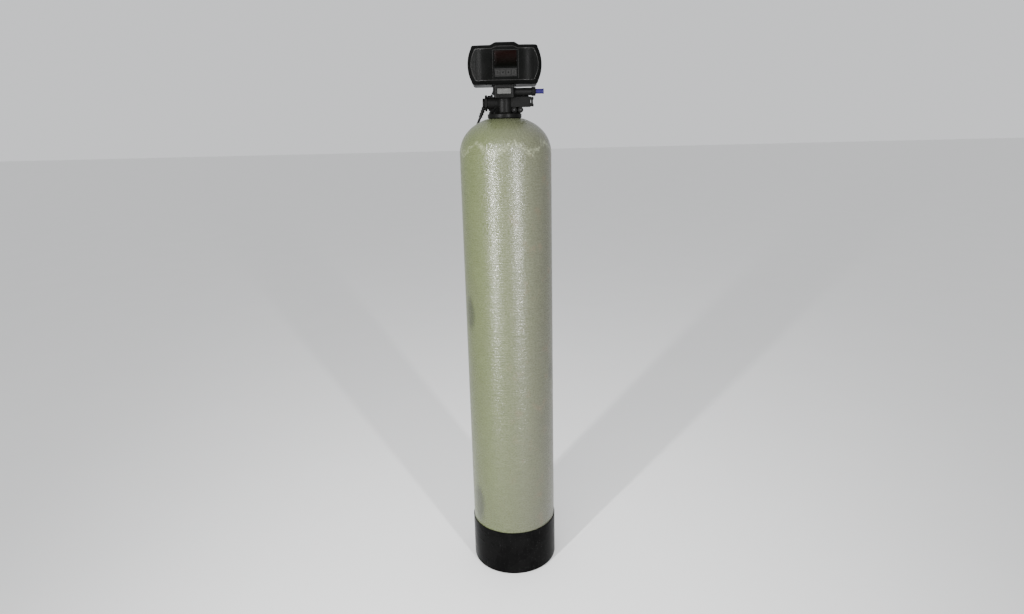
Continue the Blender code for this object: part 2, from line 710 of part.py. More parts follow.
def screw_bosses(valve):
    """Round bosses low on the right of the body that take the body screws."""
    profile = [(0, 0), (BOSS_RADIUS, 0), (BOSS_RADIUS, BOSS_LENGTH), (0, BOSS_LENGTH)]
    bosses = [lathe(f"screw_boss_{i}", profile, "valve_plastic", valve, (x, -BOSS_FRONT, z), ALONG_Y, sides=12)
              for i, (x, z) in enumerate(BOSSES)]
    reach = BOSSES[0][0]
    outline = [(0, COLLAR_HEIGHT - TOUCH), (reach, COLLAR_HEIGHT - TOUCH), (reach, INJECTOR_LOW + TOUCH),
               (0, INJECTOR_LOW + TOUCH)]
    web = prism("screw_web", outline, -WEB_THICKNESS, WEB_THICKNESS, "valve_plastic", valve, turn=FACING)
    return [*bosses, web]


def port_barrel(valve, side):
    """Port tube to the back with its flange."""
    flange = PORT_END - FLANGE_WIDTH
    profile = [(0, 0), (PORT_RADIUS, 0), (PORT_RADIUS, flange), (PORT_FLANGE, flange),
               (PORT_FLANGE, PORT_END), (0, PORT_END)]
    return lathe(f"port_barrel_{side}", profile, "valve_plastic", valve,
                 (side * PORT_SPACING / 2, 0, PORT_HEIGHT), ALONG_Y, sides=ROUND_SIDES)


def rod(name, radius, low, high, valve, place=(0, 0, 0), turn=UPRIGHT, sides=ROUND_SIDES,
        look="valve_plastic"):
    """A plain round bar or drill."""
    return lathe(name, [(0, low), (radius, low), (radius, high), (0, high)], look, valve, place, turn, sides)


def valve_passages(valve):
    """Drills for the piston stack, the riser, the ports and the drain."""
    stack = rod("stack_bore", STACK_RADIUS + TOUCH, STACK_FOOT, HEAD_BLOCK_TOP + 0.002, valve, sides=ROUND_SIDES)
    well = rod("riser_bore", RISER_RADIUS + TOUCH, -SPIGOT_DEPTH - 0.002, RISER_STOP, valve, sides=ROUND_SIDES)
    seat = rod("riser_ring_seat", RISER_RADIUS + O_RING, -SPIGOT_DEPTH - 0.002, -SPIGOT_DEPTH + O_RING, valve,
               sides=ROUND_SIDES)
    throat = rod("throat", PISTON_RADIUS - 0.003, RISER_STOP - 0.001, STACK_FOOT + 0.001, valve, sides=ROUND_SIDES)
    inside = RISER_RADIUS + TOUCH + PILOT_WALL
    outside = NECK_BORE - TOUCH - SPIGOT_WALL
    ring = lathe("flow_ring", [(inside, -SPIGOT_DEPTH - 0.002), (outside, -SPIGOT_DEPTH - 0.002),
                               (outside, VALVE_FOOT + 0.004), (inside, VALVE_FOOT + 0.004)],
                 "valve_plastic", valve, sides=ROUND_SIDES)
    drain = rod("drain_bore", DRAIN_BORE, 0.028, DRAIN_FACE + 0.002, valve, (0, 0, DRAIN_HEIGHT), LEFTWARD)
    ports = [rod(f"port_bore_{side}", PORT_BORE, 0.008, PORT_END + 0.002, valve,
                 (side * PORT_SPACING / 2, 0, PORT_HEIGHT), ALONG_Y) for side in (-1, 1)]
    screws = [rod(f"screw_hole_{i}", SCREW_HOLE, HEAD_BLOCK_TOP - SCREW_DEPTH, HEAD_BLOCK_TOP + 0.002, valve,
                  (x, y, 0), sides=12) for i, (x, y) in enumerate(HEAD_SCREWS)]
    pilot = [rod(f"boss_hole_{i}", SCREW_HOLE, -0.002, SCREW_DEPTH, valve, (x, -BOSS_FRONT, z), ALONG_Y, 12)
             for i, (x, z) in enumerate(BOSSES)]
    cap = [rod(f"cap_hole_{i}", SCREW_HOLE, INJECTOR_FACE - SCREW_DEPTH, INJECTOR_FACE + 0.002, valve, (0, 0, z),
               ALONG_X, 12) for i, z in enumerate(CAP_SCREWS)]
    return [stack, well, seat, throat, ring, drain, *ports, *screws, *pilot, *cap]


def build_valve_body(valve):
    """The valve body: one moulding with its housings and passages."""
    body = valve_core(valve)
    weld(body, head_block(valve), front_rib(valve), *drain_housing(valve), injector_block(valve),
         *screw_bosses(valve), port_barrel(valve, -1), port_barrel(valve, 1))
    slit = prism("cap_slit", rounded(SLIT_WIDTH, SLIT_TOP - SLIT_LOW, 0.0008,
                                     (INJECTOR_FACE - SLIT_WIDTH, (SLIT_TOP + SLIT_LOW) / 2), steps=1),
                 -INJECTOR_DEPTH, INJECTOR_DEPTH, "valve_plastic", valve, turn=FACING)
    cut(body, slit, *valve_passages(valve))


def build_stack(valve):
    """Cartridge of seals and spacers that fills the bore, and the end plug that closes it."""
    foot = STACK_FOOT + TOUCH
    groove = STACK_RADIUS - SEAL_GROOVE
    bore = PISTON_RADIUS + RUNNING
    outer, inner = [], []
    height = foot
    for index in range(SEAL_COUNT):
        top = height + SEAL_HEIGHT
        outer += [(STACK_RADIUS, height), (STACK_RADIUS, top)]
        inner += [(bore, height), (bore, top)]
        if index < SEAL_COUNT - 1:
            height = top + SPACER_HEIGHT
            outer += [(groove, top), (groove, height)]
            inner += [(STACK_RADIUS - SPACER_WALL, top), (STACK_RADIUS - SPACER_WALL, height)]
    lathe("seal_cartridge", outer + inner[::-1], "white_plastic", valve, sides=ROUND_SIDES)
    low = top + TOUCH
    clear = ROD_RADIUS + RUNNING
    flange = HEAD_BLOCK_TOP + TOUCH
    plug = [(clear, low), (STACK_RADIUS, low), (STACK_RADIUS, flange), (END_PLUG_RADIUS, flange),
            (END_PLUG_RADIUS, flange + END_PLUG_FLANGE), (clear, flange + END_PLUG_FLANGE)]
    lathe("end_plug", plug, "grey_plastic", valve, sides=ROUND_SIDES)


def build_rings(valve):
    """O-ring in the spigot's groove, and the one round the riser."""
    spigot = NECK_BORE - TOUCH
    for name, inner, outer, low, ring_sides in (
            ("tank_o_ring", spigot - O_RING, spigot, GROOVE_LOW, CORE_SIDES),
            ("riser_o_ring", RISER_RADIUS + TOUCH, RISER_RADIUS + O_RING - TOUCH, -SPIGOT_DEPTH + TOUCH,
             ROUND_SIDES)):
        high = low + O_RING - TOUCH
        lathe(name, [(inner, low), (outer, low), (outer, high), (inner, high)], "black_rubber", valve,
              sides=ring_sides)


def involute(angle):
    return math.tan(angle) - angle


def gear_outline(teeth, spin=0.0):
    """Outline of an involute gear, with a tooth's middle at the angle spin."""
    pitch = MODULE * teeth / 2
    base = pitch * math.cos(PRESSURE)
    root = pitch - DEDENDUM * MODULE
    tip = pitch + ADDENDUM * MODULE
    radii = sorted({root, max(base, root), pitch, tip})
    points = []
    for tooth in range(teeth):
        middle = spin + ROUND * tooth / teeth
        flank = []
        for radius in radii:
            contact = math.acos(min(1.0, base / radius)) if radius > base else 0.0
            half = math.pi / 2 / teeth - BACKLASH / 2 / pitch + involute(PRESSURE) - involute(contact)
            flank.append((radius, half))
        points += [(r * math.cos(middle - a), r * math.sin(middle - a)) for r, a in flank]
        points += [(r * math.cos(middle + a), r * math.sin(middle + a)) for r, a in flank[::-1]]
    return points


def rack_outline(low, high, back):
    """Outline of the rack in the (x, z) plane: straight teeth towards +X about the drive height."""
    tip = RACK_OFFSET + ADDENDUM * MODULE
    root = RACK_OFFSET - DEDENDUM * MODULE
    half_pitch = PITCH / 4 - BACKLASH / 2
    at_tip = half_pitch - ADDENDUM * MODULE * math.tan(PRESSURE)
    at_root = half_pitch + DEDENDUM * MODULE * math.tan(PRESSURE)
    points = [(back, low), (root, low)]
    count = int((high - low) / PITCH) + 2
    for index in range(-count, count + 1):
        middle = DRIVE_HEIGHT + (index + 0.5) * PITCH
        if middle - PITCH / 2 < low or middle + PITCH / 2 > high:
            continue
        points += [(root, middle - at_root), (tip, middle - at_tip), (tip, middle + at_tip),
                   (root, middle + at_root)]
    return points + [(root, high), (back, high)]


def build_piston(valve):
    """Spool piston in the bore and the rod with its rack, on the piston's axis."""
    axis = frame_empty("piston_axis", (0, 0, 0), valve)
    foot = STACK_FOOT + RUNNING
    height = STACK_HEIGHT - STROKE - PISTON_END_PLAY
    top = foot + height
    half = (height - 2 * PISTON_LAND) / 2
    spool = [(0, foot), (PISTON_RADIUS - 0.0008, foot), (PISTON_RADIUS, foot + 0.0008),
             (PISTON_RADIUS, foot + PISTON_LAND), (PISTON_WAIST, foot + PISTON_LAND + half / 2),
             (PISTON_WAIST, top - PISTON_LAND - half / 2), (PISTON_RADIUS, top - PISTON_LAND),
             (PISTON_RADIUS, top - 0.0008), (PISTON_RADIUS - 0.0008, top), (0, top)]
    lathe("piston", spool, "label_metal", axis, sides=ROUND_SIDES)
    pinion_tip = RACK_PINION_RADIUS + ADDENDUM * MODULE
    swept_depth = math.sqrt(pinion_tip ** 2 - (DRIVE_X - ROD_RADIUS - 2 * TOUCH) ** 2)
    rod_top = DRIVE_HEIGHT - STROKE - swept_depth
    rack_low = rod_top - ROD_SOCKET
    rack_high = DRIVE_HEIGHT + 2 * PITCH
    stem = rod("piston_rod", ROD_RADIUS, top + TOUCH, rod_top, axis, look="steel")
    rack = prism("rack", rack_outline(rack_low, rack_high, -ROD_RADIUS), -RACK_WIDTH / 2, RACK_WIDTH / 2,
                 "steel", axis, turn=FACING)
    weld(stem, rack)


def build_gears(valve):
    """Drive gear with the rack pinion behind it, and the motor's pinion on its shaft."""
    drive = frame_empty("drive_gear_axis", (DRIVE_X, 0, DRIVE_HEIGHT), valve)
    wheel = prism("drive_gear", gear_outline(DRIVE_TEETH, MOTOR_ANGLE), GEAR_FRONT - GEAR_WIDTH, GEAR_FRONT,
                  "grey_plastic", drive, turn=FACING)
    small = prism("rack_pinion", gear_outline(RACK_PINION_TEETH, math.pi), -RACK_GEAR_WIDTH / 2,
                  RACK_GEAR_WIDTH / 2, "grey_plastic", drive, turn=FACING)
    hub = rod("gear_hub", HUB_RADIUS, -HUB_BACK, GEAR_FRONT - 0.001, drive, turn=FACING,
              look="grey_plastic")
    weld(wheel, small, hub)
    cut(wheel, rod("gear_bore", AXLE_RADIUS + RUNNING, -0.02, 0.02, drive, turn=FACING, sides=ROUND_SIDES))
    motor = frame_empty("motor_pinion_axis", (MOTOR_X, 0, MOTOR_Z), valve)
    spin = MOTOR_ANGLE + math.pi + math.pi / MOTOR_TEETH
    pinion = prism("motor_pinion", gear_outline(MOTOR_TEETH, spin), GEAR_FRONT - GEAR_WIDTH - 0.0005,
                   GEAR_FRONT + 0.0005, "label_metal", motor, turn=FACING)
    shaft = rod("motor_shaft", SHAFT_RADIUS, -BRACKET_BACK, GEAR_FRONT - 0.001, motor, turn=FACING, sides=12)
    weld(pinion, shaft)


def build_bracket(head):
    """Foot on the valve's block, the wall that carries the gears and posts to the back plate."""
    foot_low = HEAD_BLOCK_TOP + TOUCH
    centre = (0, (FOOT_BACK - FOOT_FRONT) / 2)
    foot = rounded(FOOT_WIDTH, FOOT_FRONT + FOOT_BACK, BRACKET_CORNER, centre)
    base = prism("drive_bracket", foot, foot_low, FOOT_TOP, "grey_plastic", head)
    left, right = BRACKET_SIDES
    low = COVER_LOW + COVER_WALL + 2 * TOUCH
    wall = prism("bracket_wall", rounded(right - left, BRACKET_TOP - low, BRACKET_CORNER,
                                         ((left + right) / 2, (BRACKET_TOP + low) / 2), steps=2),
                 -BRACKET_BACK, -BRACKET_FRONT, "grey_plastic", head, turn=FACING)
    posts = [rod(f"post_{i}", POST_RADIUS, BRACKET_BACK - BRACKET_WALL / 2, PLATE_INNER - TOUCH, head, (x, 0, z),
                 ALONG_Y, 10) for i, (x, z) in enumerate(post_places())]
    weld(base, wall, *posts)
    plug = rod("plug_clearance", END_PLUG_RADIUS + TOUCH, foot_low - 0.001, foot_low + END_PLUG_FLANGE + 0.001,
               head, sides=ROUND_SIDES)
    rod_hole = rod("rod_clearance", ROD_PASSAGE, foot_low, FOOT_TOP + 0.001, head)
    front, back = BRACKET_FRONT - 0.005, BRACKET_BACK + 0.005
    shaft = rod("shaft_clearance", SHAFT_RADIUS * 1.6, front, back, head, (MOTOR_X, 0, MOTOR_Z), ALONG_Y, 12)
    axle = rod("axle_hole", AXLE_RADIUS + TOUCH, front, back, head, (DRIVE_X, 0, DRIVE_HEIGHT), ALONG_Y)
    cut(base, plug, rod_hole, shaft, axle)
    length = FOOT_TOP - HEAD_BLOCK_TOP + SCREW_DEPTH - 0.001
    weld(base, *[screw(f"head_screw_{i}", head, (x, y, FOOT_TOP - 0.0002), UPRIGHT, length)
                 for i, (x, y) in enumerate(HEAD_SCREWS)])


def build_drive_parts(head):
    """Motor behind the bracket and the gear's axle."""
    motor = [(0, BRACKET_BACK + TOUCH), (MOTOR_BODY, BRACKET_BACK + TOUCH),
             (MOTOR_BODY, BRACKET_BACK + MOTOR_LENGTH - 0.002),
             (MOTOR_BODY - 0.002, BRACKET_BACK + MOTOR_LENGTH), (0, BRACKET_BACK + MOTOR_LENGTH)]
    lathe("drive_motor", motor, "steel", head, (MOTOR_X, 0, MOTOR_Z), ALONG_Y, sides=ROUND_SIDES)
    front = GEAR_FRONT + RUNNING
    axle = [(0, -BRACKET_BACK), (AXLE_RADIUS, -BRACKET_BACK), (AXLE_RADIUS, front), (AXLE_HEAD, front),
            (AXLE_HEAD, front + 0.0012), (0, front + 0.0012)]
    lathe("gear_axle", axle, "steel", head, (DRIVE_X, 0, DRIVE_HEIGHT), FACING, sides=ROUND_SIDES)


def screw_profile(length):
    """A pan-head screw that points down its own -Z, its head's seat at zero."""
    return [(0, -length), (SCREW_RADIUS, -length), (SCREW_RADIUS, 0), (SCREW_HEAD, 0),
            (SCREW_HEAD, SCREW_HEAD_HEIGHT * 0.6), (SCREW_HEAD * 0.7, SCREW_HEAD_HEIGHT), (0, SCREW_HEAD_HEIGHT)]


def screw(name, parent, place, turn, length):
    """A screw whose head sits on a place and faces along its turned Z axis."""
    return lathe(name, screw_profile(length), "steel", parent, place, turn, sides=12)


def cover_stations():
    """Points of the cover's outline as (x, height above the middle, height below it)."""
    half = COVER_HEIGHT / 2
    reach = COVER_WIDTH / 2
    arc_centre = reach - SIDE_RADIUS
    corner_low = half - CORNER_RADIUS
    stations = []
    for step in range(5):
        height = corner_low * step / 4
        stations.append((arc_centre + math.sqrt(SIDE_RADIUS ** 2 - height ** 2), height))
    side = stations[-1][0]
    for step in range(1, 4):
        angle = step / 3 * math.pi / 2
        stations.append((side - CORNER_RADIUS * (1 - math.cos(angle)), corner_low + CORNER_RADIUS * math.sin(angle)))
    flat_start = side - CORNER_RADIUS
    stations += [(flat_start + (HUMP_FOOT[1] - flat_start) * share, half) for share in (1 / 3, 2 / 3)]
    right = [(x, h, h) for x, h in stations]
    left = [(-x, h, h) for x, h in stations[::-1]]
    middle = [(HUMP_FOOT[1], half, half), (HUMP_CREST[1], half + HUMP_HEIGHT, half),
              (HUMP_CREST[0], half + HUMP_HEIGHT, half), (HUMP_FOOT[0], half, half)]
    return right + middle + left


def cover_bow(x):
    """How far the front face falls back towards the cover's sides."""
    past = max(0.0, abs(x) - BOW_START) / (COVER_WIDTH / 2 - BOW_START)
    return BOW_DEPTH * past ** 2


def cover_loop(bm, inset, y, bowed):
    """One closed loop of the cover: its outline drawn in by an inset, at a depth."""
    reach = COVER_WIDTH / 2
    half = COVER_HEIGHT / 2
    top, bottom = [], []
    for x, up, down in cover_stations():
        across = x * (reach - inset) / reach
        depth = y + (cover_bow(x) if bowed else 0.0)
        top.append(bm.verts.new((across, depth, up * (half - inset) / half)))
        if down > 1e-9:
            bottom.append(bm.verts.new((across, depth, -down * (half - inset) / half)))
        else:
            bottom.append(top[-1])
    return top, bottom


def join_loops(bm, first, second):
    """Faces between two loops of the cover."""
    for a, b in zip(first, second):
        for i in range(len(a) - 1):
            bm.faces.new((a[i], a[i + 1], b[i + 1], b[i]))


def close_loop(bm, loop):
    """Upright strips across a loop."""
    top, bottom = loop
    for i in range(len(top) - 1):
        bm.faces.new(list(dict.fromkeys((top[i], top[i + 1], bottom[i + 1], bottom[i]))))


def cover_shell(name, outer, inner, look, head):
    """Shell between outer and inner loops, each (inset, y, bowed) from front to rim."""
    bm = bmesh.new()
    outside = [cover_loop(bm, *spec) for spec in outer]
    inside = [cover_loop(bm, *spec) for spec in inner]
    for chain in (outside, inside):
        for first, second in zip(chain, chain[1:]):
            join_loops(bm, first, second)
    close_loop(bm, outside[0])
    if inside:
        close_loop(bm, inside[0])
        join_loops(bm, outside[-1], inside[-1])
    else:
        close_loop(bm, outside[-1])
    return as_object(name, bm, look, head, (COVER_SHIFT, 0, COVER_MIDDLE), UPRIGHT)


def panel_centre():
    return (WINDOW_SIDES[0] + WINDOW_SIDES[1]) / 2


def sheet(name, sides, low, high, back, face, look, parent, radius=0.0015, steps=2):
    """A flat plate that faces the front, given by its edges and its back and face depths."""
    outline = rounded(sides[1] - sides[0], high - low, radius, ((sides[0] + sides[1]) / 2, (low + high) / 2), steps)
    return prism(name, outline, back, face, look, parent, turn=FACING)


def grown(sides, by):
    return sides[0] - by, sides[1] + by


def build_cover(head):
    """Deep front cover with bevelled edges, a hump on top, the panel's opening and a slot below."""
    flush = COVER_FRONT - BEVEL_DEPTH
    outer = [(COVER_BEVEL, -COVER_FRONT, True), (COVER_BEVEL * 0.82, -COVER_FRONT + 0.0008, True),
             (0.0012, -flush - 0.0010, True), (0.0, -flush + 0.0015, True), (0.0, COVER_BACK, False)]
    inner = [(COVER_BEVEL + 0.0015, -COVER_FRONT + COVER_WALL, True),
             (COVER_WALL + 0.0005, -flush + COVER_WALL, True), (COVER_WALL, COVER_BACK, False)]
    cover = cover_shell("head_cover", outer, inner, "cover_plastic", head)
    opening = sheet("panel_opening", PANEL_SIDES, PANEL_LOW, PANEL_TOP, CUT_BACK, CUT_FRONT, "cover_plastic", head)
    slot_back = COVER_BACK + 0.005
    centre = (0, (slot_back - SLOT_FRONT) / 2)
    slot = prism("neck_slot", rounded(SLOT_WIDTH_BELOW, SLOT_FRONT + slot_back, 0.004, centre),
                 COVER_LOW - 0.002, COVER_LOW + COVER_WALL + 0.002, "cover_plastic", head)
    cut(cover, opening, slot)


def build_back_plate(head):
    """Back plate with a lip round the cover's rim and a shelf that closes the slot below."""
    lip = COVER_BACK + TOUCH
    tongue = COVER_WALL + TOUCH
    loops = [(tongue, PLATE_INNER, False), (tongue, lip, False), (-PLATE_LIP, lip, False),
             (-PLATE_LIP, lip + PLATE_WIDTH - 0.0012, False), (0.0006, lip + PLATE_WIDTH, False)]
    plate = cover_shell("back_plate", loops, [], "cover_plastic", head)
    pocket_loops = [(tongue + 0.0025, PLATE_INNER - 0.002, False), (tongue + 0.0025, PLATE_POCKET, False)]
    pocket = cover_shell("plate_pocket", pocket_loops, [], "cover_plastic", head)
    shelf_centre = (0, (SHELF_FRONT + PLATE_POCKET) / 2)
    shelf = prism("plate_shelf", rounded(SLOT_WIDTH_BELOW - 2 * TOUCH, PLATE_POCKET - SHELF_FRONT, 0.002,
                                         shelf_centre, steps=1),
                  SHELF_LOW, SHELF_LOW + SHELF_THICKNESS, "cover_plastic", head)
    tabs = [rod(f"plate_post_{i}", POST_RADIUS + 0.0005, PLATE_INNER, PLATE_POCKET + 0.001, head, (x, 0, z),
                ALONG_Y, 10)
            for i, (x, z) in enumerate(post_places())]
    hole = rod("gland_hole", GLAND_NECK + TOUCH, SHELF_LOW - 0.01, SHELF_LOW + 0.01, head, (*GLAND_PLACE, 0))
    cut(plate, pocket)
    weld(plate, shelf, *tabs)
    cut(plate, hole)


def post_places():
    """Where the bracket's posts meet the back plate."""
    left, right = BRACKET_SIDES
    low = COVER_LOW + COVER_WALL + 2 * TOUCH
    return [(x, z) for x in (left + POST_INSET, right - POST_INSET)
            for z in (low + POST_INSET + BRACKET_CORNER, BRACKET_TOP - POST_INSET)]


def build_display(head):
    """Panel, window, bezel, buttons, circuit board and display module."""
    panel = sheet("display_panel", grown(PANEL_SIDES, -TOUCH), PANEL_LOW + TOUCH, PANEL_TOP - TOUCH,
                  PANEL_BACK, PANEL_FACE, "cover_plastic", head)
    inside = COVER_FRONT - COVER_WALL - TOUCH
    lip = sheet("panel_lip", grown(PANEL_SIDES, PANEL_LIP), PANEL_LOW - PANEL_LIP, PANEL_TOP + PANEL_LIP,
                PANEL_BACK, inside, "cover_plastic", head)
    posts = [rod(f"board_post_{x:.3f}_{z:.3f}", BOARD_POST, BOARD_FRONT + TOUCH, PANEL_BACK + 0.001, head,
                 (x, 0, z), FACING, 10)
             for x in WINDOW_SIDES for z in (PANEL_LOW + POST_EDGE, PANEL_TOP - POST_EDGE / 3)]
    weld(panel, lip, *posts)
    seat = INSERT_BACK - TOUCH
    window_seat = sheet("window_seat", WINDOW_SIDES, WINDOW_LOW, WINDOW_TOP, seat, CUT_FRONT, "cover_plastic", head)
    window_hole = sheet("window_hole", grown(WINDOW_SIDES, -WINDOW_LEDGE), WINDOW_LOW + WINDOW_LEDGE,
                        WINDOW_TOP - WINDOW_LEDGE, CUT_BACK, CUT_FRONT, "cover_plastic", head)
    strip_seat = sheet("strip_seat", WINDOW_SIDES, BEZEL_LOW, BEZEL_TOP, seat, CUT_FRONT, "cover_plastic", head)
    strip_hole = sheet("strip_hole", grown(WINDOW_SIDES, -BEZEL_LEDGE), BEZEL_LOW + BEZEL_LEDGE,
                       BEZEL_TOP - BEZEL_LEDGE, CUT_BACK, CUT_FRONT, "cover_plastic", head)
    cut(panel, window_seat, window_hole, strip_seat, strip_hole)
    sheet("display_window", grown(WINDOW_SIDES, -TOUCH), WINDOW_LOW + TOUCH, WINDOW_TOP - TOUCH,
          INSERT_BACK, INSERT_FACE, "window_plastic", head)
    bezel = sheet("button_bezel", grown(WINDOW_SIDES, -TOUCH), BEZEL_LOW + TOUCH, BEZEL_TOP - TOUCH,
                  INSERT_BACK, INSERT_FACE + BEZEL_PROUD, "grey_plastic", head)
    build_buttons(head, bezel)
    build_board(head)


def button_places():
    """Middle of each button, from left to right."""
    first = panel_centre() - BUTTON_PITCH * (BUTTON_COUNT - 1) / 2
    height = (BEZEL_LOW + BEZEL_TOP) / 2
    return [(first + BUTTON_PITCH * i, height) for i in range(BUTTON_COUNT)]


def build_buttons(head, bezel):
    """Four push buttons, each held behind the bezel by a lip, with a stem to its switch."""
    for index, (x, z) in enumerate(button_places(), start=1):
        axis = frame_empty(f"button_axis_{index}", (x, 0, z), head)
        half = BUTTON_WIDTH / 2
        tall = BUTTON_HEIGHT / 2
        cap = sheet(f"button_{index}", (-half, half), -tall, tall, INSERT_BACK - 0.0010, BUTTON_FACE,
                    "grey_plastic", axis, radius=BUTTON_CORNER)
        lip = sheet(f"button_lip_{index}", (-half - BUTTON_LIP, half + BUTTON_LIP), -tall - BUTTON_LIP,
                    tall + BUTTON_LIP, INSERT_BACK - 0.0018, INSERT_BACK - RUNNING, "grey_plastic", axis)
        stem = rod(f"button_stem_{index}", STEM_RADIUS, SWITCH_TOP + BUTTON_TRAVEL + 0.0004,
                   INSERT_BACK - 0.0012, axis, turn=FACING, sides=10)
        weld(cap, lip, stem)
        hole = sheet(f"button_hole_{index}", (x - half - RUNNING, x + half + RUNNING), z - tall - RUNNING,
                     z + tall + RUNNING, CUT_BACK, CUT_FRONT, "grey_plastic", head, radius=BUTTON_CORNER + RUNNING)
        cut(bezel, hole)


def build_board(head):
    """Circuit board with its four switches, and the display module on it."""
    left, right = grown(WINDOW_SIDES, 0.0020)
    back = BOARD_FRONT
    board = sheet("circuit_board", (left, right), BEZEL_LOW - 0.0045, WINDOW_TOP + 0.0045, back - BOARD_THICKNESS,
                  back, "board", head)
    switches = [sheet(f"switch_{i}", (x - 0.003, x + 0.003), z - 0.003, z + 0.003, back - 0.0005, SWITCH_TOP,
                      "board", head, radius=0.0008, steps=1) for i, (x, z) in enumerate(button_places())]
    weld(board, *switches)
    sheet("display_module", grown(WINDOW_SIDES, -WINDOW_LEDGE - 0.001), WINDOW_LOW + WINDOW_LEDGE + 0.001,
          WINDOW_TOP - WINDOW_LEDGE - 0.001, back + TOUCH, INSERT_BACK - 2 * TOUCH, "grey_plastic", head, steps=1)


def build_label(head):
    """Bare metal plate on the front of the valve's block."""
    sheet("label_plate", (-LABEL_WIDTH / 2, LABEL_WIDTH / 2), LABEL_LOW, LABEL_TOP, HEAD_BLOCK_FRONT + TOUCH,
          HEAD_BLOCK_FRONT + LABEL_THICKNESS, "label_metal", head, radius=0.0010, steps=2)


def build_side_fittings(valve):
    """Drain fitting on the left; injector tube, blue plug, cap and screws on the right."""
    face = DRAIN_FACE + TOUCH
    inner = DRAIN_FACE - 0.0130
    spigot = DRAIN_BORE - TOUCH
    fitting = [(DRAIN_SOCKET, inner), (spigot, inner), (spigot, face + 0.001), (DRAIN_STUB, face + 0.001),
               (DRAIN_STUB, DRAIN_TIP - 0.0015), (DRAIN_STUB - 0.0015, DRAIN_TIP), (DRAIN_SOCKET, DRAIN_TIP)]
    drain = lathe("drain_fitting", fitting, "valve_plastic", valve, (0, 0, DRAIN_HEIGHT), LEFTWARD, sides=ROUND_SIDES)
    hexagon = prism("drain_hex", polygon(6, DRAIN_HEX), face, face + DRAIN_HEX_WIDTH, "valve_plastic", valve,
                    (0, 0, DRAIN_HEIGHT), LEFTWARD)
    cut(hexagon, rod("hex_bore", spigot - 0.001, 0, 0.1, valve, (0, 0, DRAIN_HEIGHT), LEFTWARD))
    weld(drain, hexagon)
    washer = [(0.0035, inner - TOUCH - 0.0045), (spigot, inner - TOUCH - 0.0045), (spigot, inner - TOUCH),
              (0.0035, inner - TOUCH)]
    lathe("flow_washer", washer, "black_rubber", valve, (0, 0, DRAIN_HEIGHT), LEFTWARD, sides=ROUND_SIDES)

    line = (0, -TUBE_FORWARD, TUBE_HEIGHT)
    start = HEAD_BLOCK_WIDTH / 2 + TOUCH
    tube = [(0, start), (TUBE_FLANGE, start), (TUBE_FLANGE, start + 0.003), (TUBE_RADIUS, start + 0.004),
            (TUBE_RADIUS, TUBE_END), (TUBE_BORE, TUBE_END), (TUBE_BORE, start + 0.012), (0, start + 0.012)]
    lathe("injector_tube", tube, "valve_plastic", valve, line, ALONG_X, sides=ROUND_SIDES)
    nut_low = TUBE_END + TOUCH
    nut_top = nut_low + NUT_WIDTH
    bore = PLUG_RADIUS + TOUCH
    nut = [(bore, nut_low), (NUT_RADIUS, nut_low), (NUT_RADIUS, nut_top - 0.002), (NUT_RADIUS - 0.0018, nut_top),
           (bore, nut_top)]
    lathe("injector_nut", nut, "valve_plastic", valve, line, ALONG_X, sides=12)
    plug = [(0, TUBE_END - 0.014), (PLUG_RADIUS, TUBE_END - 0.014), (PLUG_RADIUS, PLUG_TIP - 0.004),
            (PLUG_LIP, PLUG_TIP - 0.001), (PLUG_LIP, PLUG_TIP), (PLUG_RADIUS - 0.0022, PLUG_TIP),
            (PLUG_RADIUS - 0.0022, PLUG_TIP - 0.012), (0, PLUG_TIP - 0.012)]
    lathe("port_plug", plug, "blue_plastic", valve, line, ALONG_X, sides=ROUND_SIDES)

    height = INJECTOR_TOP - INJECTOR_LOW - 0.002
    middle = (INJECTOR_TOP + INJECTOR_LOW) / 2
    cap = prism("injector_cap", rounded(INJECTOR_DEPTH - 0.002, height, 0.004, (0, middle)),
                INJECTOR_FACE + TOUCH, INJECTOR_FACE + TOUCH + CAP_THICKNESS, "valve_plastic", valve,
                turn=SIDEWAYS)
    seat = INJECTOR_FACE + CAP_THICKNESS + TOUCH / 2
    weld(cap, *[screw(f"cap_screw_{i}", valve, (seat, 0, z), ALONG_X, CAP_THICKNESS + SCREW_DEPTH - 0.002)
                for i, z in enumerate(CAP_SCREWS)])
    for i, (x, z) in enumerate(BOSSES):
        screw(f"body_screw_{i + 1}", valve, (x, -BOSS_FRONT - TOUCH, z), FACING, SCREW_DEPTH - 0.001)


def bypass_barrel(valve, side):
    """One flow tube of the bypass, from its flange to its threaded end."""
    flange = BYPASS_FACE + FLANGE_WIDTH
    thread = BYPASS_END - THREAD_LENGTH
    profile = [(0, BYPASS_FACE), (PORT_FLANGE, BYPASS_FACE), (PORT_FLANGE, flange), (PORT_RADIUS, flange),
               (PORT_RADIUS, thread), (THREAD_RADIUS, thread), (THREAD_RADIUS, BYPASS_END), (0, BYPASS_END)]
    return lathe(f"bypass_barrel_{side}", profile, "valve_plastic", valve,
                 (side * PORT_SPACING / 2, 0, PORT_HEIGHT), ALONG_Y, sides=ROUND_SIDES)


